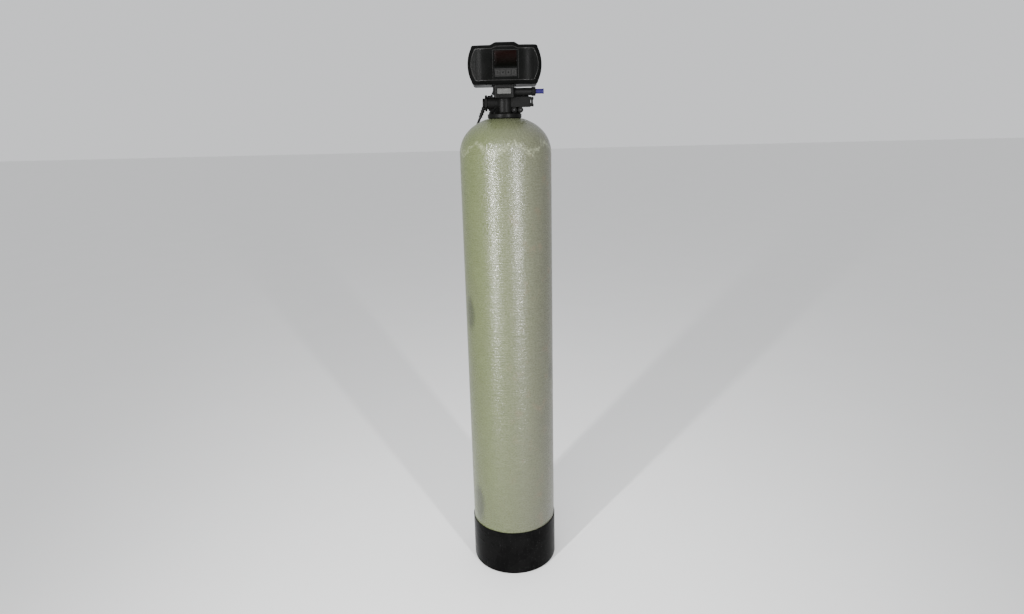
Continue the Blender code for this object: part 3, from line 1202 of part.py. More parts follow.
def build_bypass_body(valve):
    """Bypass valve: two tubes, two rotor housings and the cross tube between them."""
    half = PORT_SPACING / 2
    cross = half + 0.003
    body = rod("bypass_body", CROSS_RADIUS, -cross, cross, valve, (0, ROTOR_BACK, PORT_HEIGHT), ALONG_X)
    bores = []
    wells = []
    for side in (-1, 1):
        place = (side * half, ROTOR_BACK, PORT_HEIGHT)
        weld(body, bypass_barrel(valve, side),
             rod(f"housing_{side}", HOUSING_RADIUS, -HOUSING_HALF, HOUSING_HALF, valve, place, sides=ROUND_SIDES))
        bores.append(rod(f"bypass_bore_{side}", PORT_BORE, BYPASS_FACE - 0.002, BYPASS_END + 0.002, valve,
                         (side * half, 0, PORT_HEIGHT), ALONG_Y, 14))
        wells.append(rod(f"rotor_well_{side}", ROTOR_RADIUS + RUNNING, -ROTOR_HALF - RUNNING, HOUSING_HALF + 0.002,
                         valve, place, (0, 0, WELL_SPIN), 18))
    cut(body, *bores, *wells, rod("cross_bore", CROSS_RADIUS - 0.0035, -cross - 0.002, cross + 0.002, valve,
                                  (0, ROTOR_BACK, PORT_HEIGHT), ALONG_X, 14))


def build_rotor(valve, side, name):
    """A rotor with its flow hole, and the handle on its stem, about an upright axis."""
    axis = frame_empty(f"bypass_axis_{name}", (side * PORT_SPACING / 2, ROTOR_BACK, PORT_HEIGHT), valve)
    profile = [(0, -ROTOR_HALF), (ROTOR_RADIUS, -ROTOR_HALF), (ROTOR_RADIUS, ROTOR_HALF),
               (HANDLE_STEM, ROTOR_HALF + 0.001), (HANDLE_STEM, STEM_HEIGHT), (0, STEM_HEIGHT)]
    rotor = lathe(f"rotor_{name}", profile, "white_plastic", axis, sides=ROUND_SIDES)
    cut(rotor, rod(f"rotor_flow_{name}", ROTOR_FLOW, -0.03, 0.03, axis, turn=ALONG_Y))
    low = HOUSING_HALF + RUNNING
    lever = [(-HANDLE_WIDTH / 2, 0), (HANDLE_WIDTH / 2, 0), (HANDLE_WIDTH / 2, HANDLE_REACH - 0.006),
             (HANDLE_WIDTH / 4, HANDLE_REACH), (-HANDLE_WIDTH / 4, HANDLE_REACH),
             (-HANDLE_WIDTH / 2, HANDLE_REACH - 0.006)]
    handle = prism(f"handle_{name}", lever, low + 0.0015, low + HANDLE_HEIGHT - 0.001, "valve_plastic", axis)
    weld(handle, rod(f"handle_hub_{name}", HANDLE_HUB, low, low + HANDLE_HEIGHT, axis, sides=ROUND_SIDES))
    cut(handle, rod(f"handle_bore_{name}", HANDLE_STEM + TOUCH, -0.01, 0.05, axis))


def build_coupling(valve, side, name):
    """Nipple and clip between valve and bypass, then the union nut and the tail behind it."""
    place = (side * PORT_SPACING / 2, 0, PORT_HEIGHT)
    outer = PORT_BORE - TOUCH
    bore = outer - NIPPLE_WALL
    low, high = PORT_END - NIPPLE_DEPTH, BYPASS_FACE + NIPPLE_DEPTH
    nipple = [(bore, low), (outer, low), (outer, PORT_END + TOUCH), (PORT_RADIUS, PORT_END + TOUCH),
              (PORT_RADIUS, BYPASS_FACE - TOUCH), (outer, BYPASS_FACE - TOUCH), (outer, high), (bore, high)]
    lathe(f"coupling_{name}", nipple, "white_plastic", valve, place, ALONG_Y, sides=ROUND_SIDES)

    near = PORT_END - FLANGE_WIDTH - TOUCH
    far = BYPASS_FACE + FLANGE_WIDTH + TOUCH
    grip = PORT_RADIUS + TOUCH + CLIP_EASE
    hold = PORT_FLANGE + TOUCH
    rim = hold + CLIP_WALL
    channel = [(grip, near - CLIP_WALL), (rim, near - CLIP_WALL), (rim, far + CLIP_WALL), (grip, far + CLIP_WALL),
               (grip, far), (hold, far), (hold, near), (grip, near)]
    clip = bmesh.new()
    part_turn(clip, channel, -math.pi / 2 - CLIP_SWEEP / 2, CLIP_SWEEP, 10)
    as_object(f"coupling_clip_{name}", clip, "grey_plastic", valve, place, ALONG_Y)

    low = BYPASS_END - THREAD_LENGTH
    high = low + UNION_LENGTH
    shoulder = BYPASS_END + TAIL_FLANGE_WIDTH + 2 * TOUCH
    nut = prism(f"union_nut_{name}", polygon(6, UNION_FLATS), low, high, "valve_plastic", valve, place, ALONG_Y)
    recess = [(0, low - 0.001), (THREAD_RADIUS + TOUCH, low - 0.001), (THREAD_RADIUS + TOUCH, shoulder),
              (TAIL_RADIUS + TOUCH, shoulder), (TAIL_RADIUS + TOUCH, high + 0.001), (0, high + 0.001)]
    cut(nut, lathe(f"nut_recess_{name}", recess, "valve_plastic", valve, place, ALONG_Y, sides=ROUND_SIDES))

    start = BYPASS_END + TOUCH
    flange = start + TAIL_FLANGE_WIDTH
    tail = [(TAIL_BORE, start), (TAIL_FLANGE, start), (TAIL_FLANGE, flange), (TAIL_RADIUS, flange),
            (TAIL_RADIUS, TAIL_END), (TAIL_BORE, TAIL_END)]
    lathe(f"port_tail_{name}", tail, "valve_plastic", valve, place, ALONG_Y, sides=ROUND_SIDES)


def smooth_route(points):
    """Closely spaced points on a smooth curve through the route's points."""
    route = [Vector(p) for p in points]
    route = [2 * route[0] - route[1], *route, 2 * route[-1] - route[-2]]
    dense = []
    for i in range(1, len(route) - 2):
        before, start, end, after = route[i - 1:i + 3]
        t1 = (start - before).length ** 0.5
        t2 = t1 + (end - start).length ** 0.5
        t3 = t2 + (after - end).length ** 0.5
        for step in range(SMOOTH_STEPS):
            t = t1 + (t2 - t1) * step / SMOOTH_STEPS
            a1 = before * (t1 - t) / t1 + start * t / t1
            a2 = start * (t2 - t) / (t2 - t1) + end * (t - t1) / (t2 - t1)
            a3 = end * (t3 - t) / (t3 - t2) + after * (t - t2) / (t3 - t2)
            b1 = a1 * (t2 - t) / t2 + a2 * t / t2
            b2 = a2 * (t3 - t) / (t3 - t1) + a3 * (t - t1) / (t3 - t1)
            dense.append(b1 * (t2 - t) / (t2 - t1) + b2 * (t - t1) / (t2 - t1))
    return [*dense, route[-2]]


def thinned(points, most_turn, shortest, longest):
    """Fewer points along a dense route: close together in its bends, further apart where it is straight."""
    kept = [points[0]]
    reach = turn = 0.0
    for before, here, after in zip(points, points[1:], points[2:]):
        reach += (here - before).length
        turn += (here - before).angle(after - here)
        if reach >= longest or (reach >= shortest and turn >= most_turn):
            kept.append(here)
            reach = turn = 0.0
    if (points[-1] - kept[-1]).length < shortest / 2 and len(kept) > 1:
        kept.pop()
    return [*kept, points[-1]]


def split_route():
    """The strain relief's stretch of the route, and the cord's."""
    dense = smooth_route(CORD_ROUTE)
    reach = 0.0
    index = 0
    while reach < RELIEF_LENGTH:
        reach += (dense[index + 1] - dense[index]).length
        index += 1
    relief = thinned(dense[:index + 1], 0.0, RELIEF_LENGTH / 6, RELIEF_LENGTH)
    rest = dense[index:]
    while (rest[0] - relief[-1]).length < 2 * TOUCH:
        rest.pop(0)
    return relief, thinned(rest, CORD_TURN, CORD_SHORT, CORD_LONG)


def swept(bm, points, radii, sides, bore=None):
    """Add a tapered bar along points to a bmesh; with a bore it is a hollow sleeve."""
    across = Vector((0, 1, 0))
    outer, inner = [], []
    for i, point in enumerate(points):
        ahead = (points[min(i + 1, len(points) - 1)] - point)
        behind = (point - points[max(i - 1, 0)])
        along = (ahead.normalized() + behind.normalized()).normalized()
        across = (across - along * across.dot(along)).normalized()
        other = along.cross(across)
        for radius, loops in ((radii[i], outer), (bore, inner)):
            if radius is not None:
                loops.append([bm.verts.new(point + radius * (math.cos(ROUND * k / sides) * across
                                                             + math.sin(ROUND * k / sides) * other))
                              for k in range(sides)])
    chain = outer + inner[::-1]
    pairs = list(zip(chain, chain[1:]))
    if inner:
        pairs.append((chain[-1], chain[0]))
    else:
        bm.faces.new(chain[0])
        bm.faces.new(chain[-1])
    for first, second in pairs:
        for k in range(sides):
            m = (k + 1) % sides
            bm.faces.new((first[k], first[m], second[m], second[k]))


def build_gland(base, relief):
    """Flanged bush in the shelf with its tapered strain relief."""
    shelf = TANK_TOP + SHELF_LOW
    top = shelf + SHELF_THICKNESS + TOUCH
    profile = [(0, shelf - TOUCH - GLAND_LIP), (GLAND_FLANGE, shelf - TOUCH - GLAND_LIP),
               (GLAND_FLANGE, shelf - TOUCH), (GLAND_NECK, shelf - TOUCH), (GLAND_NECK, top),
               (GLAND_FLANGE, top), (GLAND_FLANGE - 0.001, top + GLAND_LIP), (0, top + GLAND_LIP)]
    gland = lathe("cord_gland", profile, "black_rubber", base, (*GLAND_PLACE, 0), sides=ROUND_SIDES)
    bm = bmesh.new()
    count = len(relief)
    radii = [RELIEF_ROOT + (RELIEF_TIP - RELIEF_ROOT) * i / (count - 1) for i in range(count)]
    points = [relief[0] + Vector((0, 0, GLAND_LIP / 2)), *relief[1:]]
    swept(bm, points, radii, 12)
    weld(gland, as_object("strain_relief", bm, "black_rubber", base, (0, 0, 0), UPRIGHT))


def build_sleeve(base, cord):
    """Ribbed, tapered sleeve round the cord where it passes the side of the valve."""
    points = []
    for first, second in zip(cord[SLEEVE_FROM:], cord[SLEEVE_FROM + 1:]):
        steps = max(1, round((second - first).length / SLEEVE_PITCH))
        points += [first.lerp(second, step / steps) for step in range(steps)]
        if len(points) >= SLEEVE_RINGS:
            break
    last = len(points) - 1
    radii = [SLEEVE_ROOT + (SLEEVE_TIP - SLEEVE_ROOT) * i / last + (SLEEVE_RIB if i % 2 else -SLEEVE_RIB / 2)
             for i in range(last + 1)]
    bm = bmesh.new()
    sides = 8
    swept(bm, points, radii, sides, (CORD_RADIUS + TOUCH) / math.cos(math.pi / sides))
    as_object("cord_sleeve", bm, "black_rubber", base, (0, 0, 0), UPRIGHT)


def build_cord(base, points):
    """The lead as a round tube from the strain relief to the coil."""
    curve = bpy.data.curves.new("power_cord", "CURVE")
    curve.dimensions = "3D"
    curve.bevel_depth = CORD_RADIUS
    curve.bevel_resolution = 2
    curve.use_fill_caps = True
    spline = curve.splines.new("POLY")
    spline.points.add(len(points) - 1)
    for knot, point in zip(spline.points, points):
        knot.co = (*point, 1.0)
    curve.materials.append(finish("cable_jacket"))
    item = bpy.data.objects.new("power_cord", curve)
    item.parent = base
    bpy.context.collection.objects.link(item)


def build_coil(base):
    """Coil of the unused length, its tie, and the plug-in adapter beside it."""
    place = (*COIL_CENTRE, 0)
    edge = 0.0030
    section = [(COIL_INNER, COIL_LOW + edge), (COIL_INNER + edge, COIL_LOW), (COIL_OUTER - edge, COIL_LOW),
               (COIL_OUTER, COIL_LOW + edge), (COIL_OUTER, COIL_TOP - edge), (COIL_OUTER - edge, COIL_TOP),
               (COIL_INNER + edge, COIL_TOP), (COIL_INNER, COIL_TOP - edge)]
    lathe("cord_coil", section, "cable_jacket", base, place, sides=COIL_SIDES)
    middle = ((COIL_INNER + COIL_OUTER) / 2, (COIL_LOW + COIL_TOP) / 2)
    wide = COIL_OUTER - COIL_INNER + 2 * TOUCH
    tall = COIL_TOP - COIL_LOW + 2 * TOUCH
    turn = (math.pi / 2, 0, TIE_ANGLE)
    tie = prism("coil_tie", rounded(wide + 2 * TIE_WALL, tall + 2 * TIE_WALL, 0.002, middle), -TIE_WIDTH / 2,
                TIE_WIDTH / 2, "black_rubber", base, place, turn)
    cut(tie, prism("tie_hole", rounded(wide, tall, 0.001, middle, steps=1), -TIE_WIDTH, TIE_WIDTH, "black_rubber",
                   base, place, turn))
    middle_y = COIL_CENTRE[1] + (COIL_INNER + COIL_OUTER) / 2
    box = prism("power_adapter", rounded(ADAPTER_LENGTH, ADAPTER_WIDTH, 0.006,
                                         (ADAPTER_START + ADAPTER_LENGTH / 2, middle_y)), 0, ADAPTER_HEIGHT,
                "cover_plastic", base)
    bevel = box.modifiers.new("edges", "BEVEL")
    bevel.width = 0.0015
    bevel.segments = 1
    bevel.limit_method = "ANGLE"
    bevel.angle_limit = math.radians(60)
    nub_start = -0.0037
    nub = [(0, nub_start), (ADAPTER_NUB * 0.85, nub_start), (ADAPTER_NUB, ADAPTER_START + 0.002),
           (0, ADAPTER_START + 0.002)]
    weld(box, lathe("adapter_nub", nub, "black_rubber", base, (0, middle_y, NUB_HEIGHT), ALONG_X, sides=12))
    thick, wide, tall = PRONG_SIZE
    prongs = [prism(f"prong_{side}", rounded(thick, wide, 0.0004, steps=1), -0.002, tall, "steel", base,
                    (ADAPTER_START + ADAPTER_LENGTH / 2 + side * PRONG_SPACING / 2, middle_y, ADAPTER_HEIGHT))
              for side in (-1, 1)]
    weld(box, *prongs)


def main():
    clear_scene()
    base = frame_empty("filter", (0, 0, 0))
    valve = frame_empty("valve", (0, 0, TANK_TOP), base)
    build_tank(base)
    build_boot(base)
    build_filling(base)
    build_riser(base, TANK_TOP + RISER_STOP - TOUCH)
    build_top_basket(valve)
    build_valve_body(valve)
    build_rings(valve)
    build_stack(valve)
    build_piston(valve)
    build_gears(valve)
    build_bracket(valve)
    build_drive_parts(valve)
    build_cover(valve)
    build_back_plate(valve)
    build_display(valve)
    build_label(valve)
    build_side_fittings(valve)
    build_bypass_body(valve)
    build_rotor(valve, -1, "left")
    build_rotor(valve, 1, "right")
    build_coupling(valve, -1, "left")
    build_coupling(valve, 1, "right")
    relief, cord = split_route()
    build_gland(base, relief)
    build_sleeve(base, cord)
    build_cord(base, cord)
    build_coil(base)


main()
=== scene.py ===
"""Whole house carbon filter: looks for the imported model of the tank, valve, control head and power lead."""
import json
import math

import bmesh
import bpy
from mathutils import Matrix, Vector


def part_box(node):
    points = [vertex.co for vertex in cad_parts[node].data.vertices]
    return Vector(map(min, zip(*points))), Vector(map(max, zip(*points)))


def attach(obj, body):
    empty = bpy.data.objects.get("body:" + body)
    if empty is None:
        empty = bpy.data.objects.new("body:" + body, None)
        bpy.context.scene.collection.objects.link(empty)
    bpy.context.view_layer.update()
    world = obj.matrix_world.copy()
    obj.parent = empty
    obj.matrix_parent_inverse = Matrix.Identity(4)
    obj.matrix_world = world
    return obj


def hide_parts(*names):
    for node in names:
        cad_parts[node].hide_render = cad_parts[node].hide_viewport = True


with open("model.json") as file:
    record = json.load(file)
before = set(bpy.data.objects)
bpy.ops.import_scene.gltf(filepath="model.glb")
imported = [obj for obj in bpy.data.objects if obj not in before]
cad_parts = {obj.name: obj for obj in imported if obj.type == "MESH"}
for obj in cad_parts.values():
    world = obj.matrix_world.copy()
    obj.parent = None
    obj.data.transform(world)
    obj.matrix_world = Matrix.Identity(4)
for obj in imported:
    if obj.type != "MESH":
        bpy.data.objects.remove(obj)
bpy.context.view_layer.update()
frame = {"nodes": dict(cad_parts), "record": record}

ROUND = 2 * math.pi
TOUCH = 0.0003
TANK_RADIUS = 0.1285
TANK_TOP = 1.372
SIDES = ((-1, "left"), (1, "right"))

# Camera, from the photograph's vanishing lines
CAMERA_PLACE = Vector((0.0, -1.918, 1.350))
CAMERA_PITCH = math.radians(15.155)
CAMERA_YAW = math.radians(0.239)
CAMERA_ROLL = math.radians(-1.330)
CAMERA_LENS = 23.38


def make_camera():
    """A camera at the photograph's viewing angle."""
    ahead = Vector((math.sin(CAMERA_YAW) * math.cos(CAMERA_PITCH),
                    math.cos(CAMERA_YAW) * math.cos(CAMERA_PITCH), -math.sin(CAMERA_PITCH)))
    level = Vector((math.cos(CAMERA_YAW), -math.sin(CAMERA_YAW), 0))
    above = level.cross(ahead)
    right = math.cos(CAMERA_ROLL) * level + math.sin(CAMERA_ROLL) * above
    up = math.cos(CAMERA_ROLL) * above - math.sin(CAMERA_ROLL) * level
    data = bpy.data.cameras.new("camera")
    data.sensor_width = 36.0
    data.lens = CAMERA_LENS
    camera = bpy.data.objects.new("camera", data)
    turn = Matrix((right, up, -ahead)).transposed().to_4x4()
    camera.matrix_world = Matrix.Translation(CAMERA_PLACE) @ turn
    bpy.context.collection.objects.link(camera)
    bpy.context.scene.camera = camera


# Materials
class Shade:
    """A material's node tree, with short calls for the nodes that it uses."""

    def __init__(self, name):
        self.material = bpy.data.materials.new(name)
        self.material.use_nodes = True
        self.tree = self.material.node_tree
        self.shader = self.tree.nodes["Principled BSDF"]
        self.place = self.node("ShaderNodeTexCoord").outputs["Object"]
        self.height = None

    def node(self, kind, **settings):
        made = self.tree.nodes.new(kind)
        for key, value in settings.items():
            setattr(made, key, value)
        return made

    def feed(self, socket, value):
        if isinstance(value, bpy.types.NodeSocket):
            self.tree.links.new(value, socket)
        else:
            socket.default_value = value

    def fed(self, kind, values, **settings):
        """A node with its first sockets set or linked."""
        made = self.node(kind, **settings)
        for socket, value in zip(made.inputs, values):
            self.feed(socket, value)
        return made

    def math(self, operation, *values):
        return self.fed("ShaderNodeMath", values, operation=operation).outputs[0]

    def times(self, first, second):
        return self.math("MULTIPLY", first, second)

    def vector(self, *values):
        return self.fed("ShaderNodeCombineXYZ", values).outputs[0]

    def vector_math(self, operation, *values):
        made = self.fed("ShaderNodeVectorMath", values, operation=operation)
        return made.outputs["Value" if operation == "LENGTH" else "Vector"]

    def split(self, vector):
        return self.fed("ShaderNodeSeparateXYZ", (vector,)).outputs

    def noise(self, scale, detail=3.0, rough=0.5, at=None):
        made = self.node("ShaderNodeTexNoise")
        self.feed(made.inputs["Vector"], at or self.place)
        made.inputs["Scale"].default_value = scale
        made.inputs["Detail"].default_value = detail
        made.inputs["Roughness"].default_value = rough
        return made.outputs["Fac"]

    def ramp(self, value, low, high, start=0.0, end=1.0):
        """Map a value from low..high to start..end, smoothly and clamped."""
        made = self.node("ShaderNodeMapRange", interpolation_type="SMOOTHSTEP")
        for key, number in (("From Min", low), ("From Max", high), ("To Min", start), ("To Max", end)):
            made.inputs[key].default_value = number
        self.feed(made.inputs["Value"], value)
        return made.outputs[0]

    def mix(self, share, first, second):
        made = self.node("ShaderNodeMix", data_type="RGBA")
        self.feed(made.inputs[0], share)
        for socket, value in zip((made.inputs[6], made.inputs[7]), (first, second)):
            self.feed(socket, value if isinstance(value, bpy.types.NodeSocket) else (*value, 1.0))
        return made.outputs[2]

    def bump(self, height, distance):
        """Add a relief of that height, in metres at a value of one."""
        made = self.node("ShaderNodeBump")
        made.inputs["Strength"].default_value = 1.0
        made.inputs["Distance"].default_value = distance
        self.feed(made.inputs["Height"], height)
        if self.height is not None:
            self.feed(made.inputs["Normal"], self.height)
        self.height = made.outputs["Normal"]
        self.feed(self.shader.inputs["Normal"], self.height)

    def set(self, **values):
        for key, value in values.items():
            socket = self.shader.inputs[key.replace("_", " ")]
            if isinstance(value, tuple) and len(value) == 3:
                value = (*value, 1.0)
            self.feed(socket, value)


def moulded(name, colour, rough, grain, dust, shine=0.5, coat=0.0):
    """Moulded plastic: fine grain, soft patches in gloss and a little pale dust."""
    made = Shade(name)
    patches = made.noise(14.0, 4.0, 0.6)
    specks = made.ramp(made.noise(420.0, 1.0), 0.70, 0.78)
    pale = tuple(min(1.0, c + 0.16) for c in colour)
    lifted = tuple(c * 1.5 + 0.004 for c in colour)
    made.set(Base_Color=made.mix(made.times(specks, dust), made.mix(patches, colour, lifted), pale),
             Roughness=made.ramp(patches, 0.25, 0.75, rough - 0.06, rough + 0.09),
             Coat_Weight=coat, Coat_Roughness=0.18, Specular_IOR_Level=shine)
    made.bump(made.noise(900.0, 2.0), grain)
    return made.material


def rubber(name, colour, rough):
    """Black rubber or cable jacket: dull, with fine scuffs."""
    made = Shade(name)
    scuffs = made.noise(160.0, 5.0, 0.65)
    grey = tuple(c * 2.2 for c in colour)
    made.set(Base_Color=made.mix(made.ramp(scuffs, 0.45, 0.75), colour, grey),
             Roughness=made.ramp(scuffs, 0.3, 0.7, rough - 0.08, rough + 0.10), Specular_IOR_Level=0.15)
    made.bump(made.noise(1200.0, 2.0), 0.00005)
    return made.material


def metal(name, colour, rough, along=(1, 40, 40)):
    """Metal with fine lines along one way and soft dull patches."""
    made = Shade(name)
    mapping = made.node("ShaderNodeMapping")
    mapping.inputs["Scale"].default_value = along
    made.feed(mapping.inputs["Vector"], made.place)
    lines = made.noise(60.0, 4.0, 0.7, mapping.outputs[0])
    dull = made.noise(45.0, 3.0)
    dark = tuple(c * 0.72 for c in colour)
    made.set(Base_Color=made.mix(made.ramp(dull, 0.35, 0.7), dark, colour),
             Roughness=made.ramp(lines, 0.3, 0.7, rough - 0.08, rough + 0.12), Metallic=1.0)
    made.bump(lines, 0.00002)
    return made.material


# Tank finish: where hoops end, how the fibres lean, the zigzag where they turn (drawn in pale glint dots as a painted
# highlight), and smudges by place
HOOP_TOP = 1.3000
HELIX_SLOPE = 0.55
TURN_LOW = 1.2800
TURN_RISE = 0.0300
TURN_PITCH = 0.0540
TURN_SHIFT = 0.0330
SMUDGES = (
    ((-0.1130, -0.0600, 0.8350), 0.030, 0.060, 0.55),
    ((0.1180, -0.0480, 0.6450), 0.026, 0.040, 0.45),
    ((-0.1050, -0.0700, 0.2200), 0.034, 0.070, 0.60),
)


def wound_glass():
    """Resin over wound glass fibre: hoops on the wall, crossing bands on the dome, glints in both; painted shade on
    the right side and a painted highlight along the fibres' zigzag turn.
    """
    made = Shade("wound_glass")
    x, y, z = made.split(made.place)
    around = made.times(made.math("ARCTAN2", x, made.times(y, -1.0)), TANK_RADIUS)
    dome = made.ramp(z, HOOP_TOP - 0.010, HOOP_TOP + 0.006)
    wall = made.math("SUBTRACT", 1.0, dome)

    def streaks(counts, shift, detail, rough, ways=(around, z)):
        """Noise with its own count per metre along each of two ways."""
        first, second = [made.times(way, count) for way, count in zip(ways, counts)]
        return made.noise(1.0, detail, rough, made.vector(first, shift, second))

    def crossed(counts, shifts, detail, rough):
        """The stronger of two streak patterns that lean to either side."""
        both = []
        for lean, shift in zip((1.0, -1.0), shifts):
            across = made.math("ADD", around, made.times(z, lean * HELIX_SLOPE))
            along = made.math("SUBTRACT", made.times(z, HELIX_SLOPE), made.times(around, lean))
            both.append(streaks(counts, shift, detail, rough, (across, along)))
        return made.math("MAXIMUM", *both)

    hoops = streaks((26.0, 900.0), 0.0, 3.0, 0.6)
    coarse = streaks((9.0, 210.0), 4.0, 2.0, 0.5)
    glints = made.ramp(streaks((150.0, 300.0), 3.0, 2.0, 0.7), 0.44, 0.58)
    rows = made.ramp(streaks((5.0, 260.0), 7.0, 2.0, 0.6), 0.56, 0.68)
    crossing = crossed((620.0, 22.0), (0.0, 9.0), 3.0, 0.65)
    sparkle = made.noise(135.0, 0.0, 0.5)
    weave = crossed((120.0, 16.0), (2.0, 5.0), 2.0, 0.6)
    weave = made.times(weave, made.math("MULTIPLY_ADD", dome, 0.9, 0.1))
    threads = made.math("ADD", made.times(hoops, made.math("MULTIPLY_ADD", wall, 0.75, 0.15)),
                        made.times(crossing, made.math("MULTIPLY_ADD", dome, 0.70, 0.30)))

    zigzag = made.math("PINGPONG", made.math("ADD", around, TURN_SHIFT), TURN_PITCH)
    turn_line = made.math("MULTIPLY_ADD", zigzag, TURN_RISE / TURN_PITCH, TURN_LOW)
    off_line = made.math("ABSOLUTE", made.math("SUBTRACT", z, turn_line))
    ragged_line = made.math("ADD", off_line, made.times(sparkle, 0.030))
    turn_line_painted_highlight = made.times(made.ramp(ragged_line, 0.0120, 0.0260, 1.0, 0.0), glints)

    # Share from the tank's left to its right: the colour turns from green to grey and is painted about 15 % darker on
    # the right, as painted shade; it also weights the warm patches.
    side = made.ramp(x, -0.115, 0.125)
    tone_and_painted_shade = made.mix(side, (0.037, 0.046, 0.016), (0.036, 0.037, 0.024))
    pale = made.mix(side, (0.082, 0.097, 0.043), (0.079, 0.081, 0.058))
    clouds = made.noise(9.0, 4.0, 0.55)
    base = made.mix(made.ramp(threads, 0.30, 0.85), tone_and_painted_shade, pale)
    base = made.mix(made.ramp(clouds, 0.35, 0.75, 0.0, 0.30), base, (0.064, 0.070, 0.038))
    warm = made.ramp(made.noise(26.0, 3.0), 0.58, 0.74, 0.0, 0.30)
    base = made.mix(made.times(warm, made.times(side, wall)), base, (0.105, 0.070, 0.045))
    for place, reach, depth, dark in SMUDGES:
        offset = made.vector_math("SUBTRACT", made.place, place)
        stretched = made.vector_math("MULTIPLY", offset, (1 / reach, 1 / reach, 1 / depth))
        ragged = made.math("ADD", made.vector_math("LENGTH", stretched), made.times(clouds, 0.7))
        base = made.mix(made.ramp(ragged, 0.80, 1.45, dark, 0.0), base, (0.012, 0.013, 0.009))
    # Painted highlight: pale glint dots along the zigzag where the fibres turn.
    base = made.mix(made.times(turn_line_painted_highlight, 0.40), base, (0.30, 0.32, 0.22))
    gloss = made.math("ADD", made.math("MULTIPLY_ADD", glints, -0.26, 0.43), made.times(rows, -0.06))
    made.set(Base_Color=base, Roughness=gloss, Specular_IOR_Level=0.42)
    for relief, depth in ((made.times(coarse, wall), 0.0009), (made.times(hoops, wall), 0.00034),
                          (weave, 0.0020), (crossing, 0.00005), (sparkle, 0.00050)):
        made.bump(relief, depth)
    return made.material


def window_glass():
    """Dark display window: gloss over a faint warm tint in its upper part."""
    made = Shade("window_glass")
    z = made.split(made.place)[2]
    low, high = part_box("display_window")
    share = made.ramp(z, low[2], high[2])
    smears = made.noise(35.0, 4.0, 0.6)
    made.set(Base_Color=made.mix(share, (0.0007, 0.0008, 0.0006), (0.0030, 0.0012, 0.0010)),
             Roughness=made.ramp(smears, 0.3, 0.75, 0.07, 0.20), Specular_IOR_Level=0.06)
    made.bump(made.noise(300.0, 2.0), 0.00001)
    return made.material


def floor_material():
    """Plain pale floor, barely mottled."""
    made = Shade("floor")
    made.set(Base_Color=made.mix(made.noise(3.0), (0.86, 0.86, 0.855), (0.89, 0.89, 0.885)), Roughness=0.75)
    return made.material


# Moulded plastics: colour, roughness, grain, dust, shine, coat
PLASTICS = {
    "boot_plastic": ((0.0003, 0.0003, 0.0003), 0.26, 0.00004, 0.3, 0.02),
    "valve_plastic": ((0.0013, 0.0013, 0.0012), 0.38, 0.00010, 0.02, 0.045),
    "cover_plastic": ((0.0003, 0.0004, 0.0003), 0.28, 0.00006, 0.03, 0.015),
    # The back plate's copy of the cover plastic, painted about twenty times lighter as painted light so that the
    # black back shows.
    "back_plastic_painted_light": ((0.0060, 0.0060, 0.0058), 0.40, 0.00008, 0.1, 0.30),
    "grey_plastic": ((0.0042, 0.0042, 0.0040), 0.42, 0.00005, 0.1, 0.06),
    "button_plastic": ((0.0060, 0.0060, 0.0057), 0.42, 0.00004, 0.1, 0.06),
    "white_plastic": ((0.62, 0.62, 0.58), 0.42, 0.00005, 0.1),
    "blue_plastic": ((0.0066, 0.0040, 0.0360), 0.34, 0.00004, 0.02, 0.12),
    # The raised edge lines' copy of the cover plastic, painted lighter as a painted highlight along the edges.
    "edge_painted_highlight": ((0.0060, 0.0058, 0.0054), 0.34, 0.00003, 0.0, 0.16),
    "glyph_plastic": ((0.0003, 0.0003, 0.0003), 0.45, 0.00003, 0.0, 0.02),
    "adapter_plastic": ((0.0070, 0.0070, 0.0070), 0.40, 0.00006, 0.1),
    "board": ((0.02, 0.10, 0.045), 0.45, 0.00003, 0.1, 0.5, 0.3),
    "gravel": ((0.34, 0.31, 0.26), 0.85, 0.0012, 0.3),
}
# Metals and rubbers: colour, roughness and, for a metal, how its lines stretch
METALS = {
    "label_metal": ((0.066, 0.066, 0.064), 0.42),
    "steel": ((0.56, 0.56, 0.55), 0.28, (30, 30, 30)),
    "black_steel": ((0.030, 0.030, 0.030), 0.40, (30, 30, 30)),
}
RUBBERS = {
    "black_rubber": ((0.0020, 0.0020, 0.0020), 0.62),
    "cable_jacket": ((0.0016, 0.0016, 0.0016), 0.46),
    "carbon": ((0.006, 0.006, 0.006), 0.85),
}
LOOKS = {"wound_glass": wound_glass(), "window_plastic": window_glass()}
for make, table in ((moulded, PLASTICS), (metal, METALS), (rubber, RUBBERS)):
    LOOKS.update({name: make(name, *values) for name, values in table.items()})
SLOT_OF = {"button_plastic": "grey_plastic", "glyph_plastic": "grey_plastic", "black_steel": "steel",
           **dict.fromkeys(("adapter_plastic", "edge_painted_highlight", "back_plastic_painted_light"), "cover_plastic")}


# Mesh helpers
def add_mesh(name, bm, look, replaced=(), body="filter", sharp=35.0):
    """Finish a bmesh as a piece that rides on a body and may stand for CAD nodes."""
    bmesh.ops.remove_doubles(bm, verts=bm.verts, dist=1e-6)
    bmesh.ops.recalc_face_normals(bm, faces=bm.faces)
    mesh = bpy.data.meshes.new(name)
    bm.to_mesh(mesh)
    bm.free()
    mesh.shade_smooth()
    mesh.set_sharp_from_angle(angle=math.radians(sharp))
    mesh.materials.append(LOOKS[look])
    piece = bpy.data.objects.new(name, mesh)
    bpy.context.collection.objects.link(piece)
    return settle(piece, body, replaced)


def settle(piece, body, replaced=()):
    """Ride on a body and hide what the piece stands for."""
    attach(piece, body)
    if replaced:
        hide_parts(*replaced)
    return piece


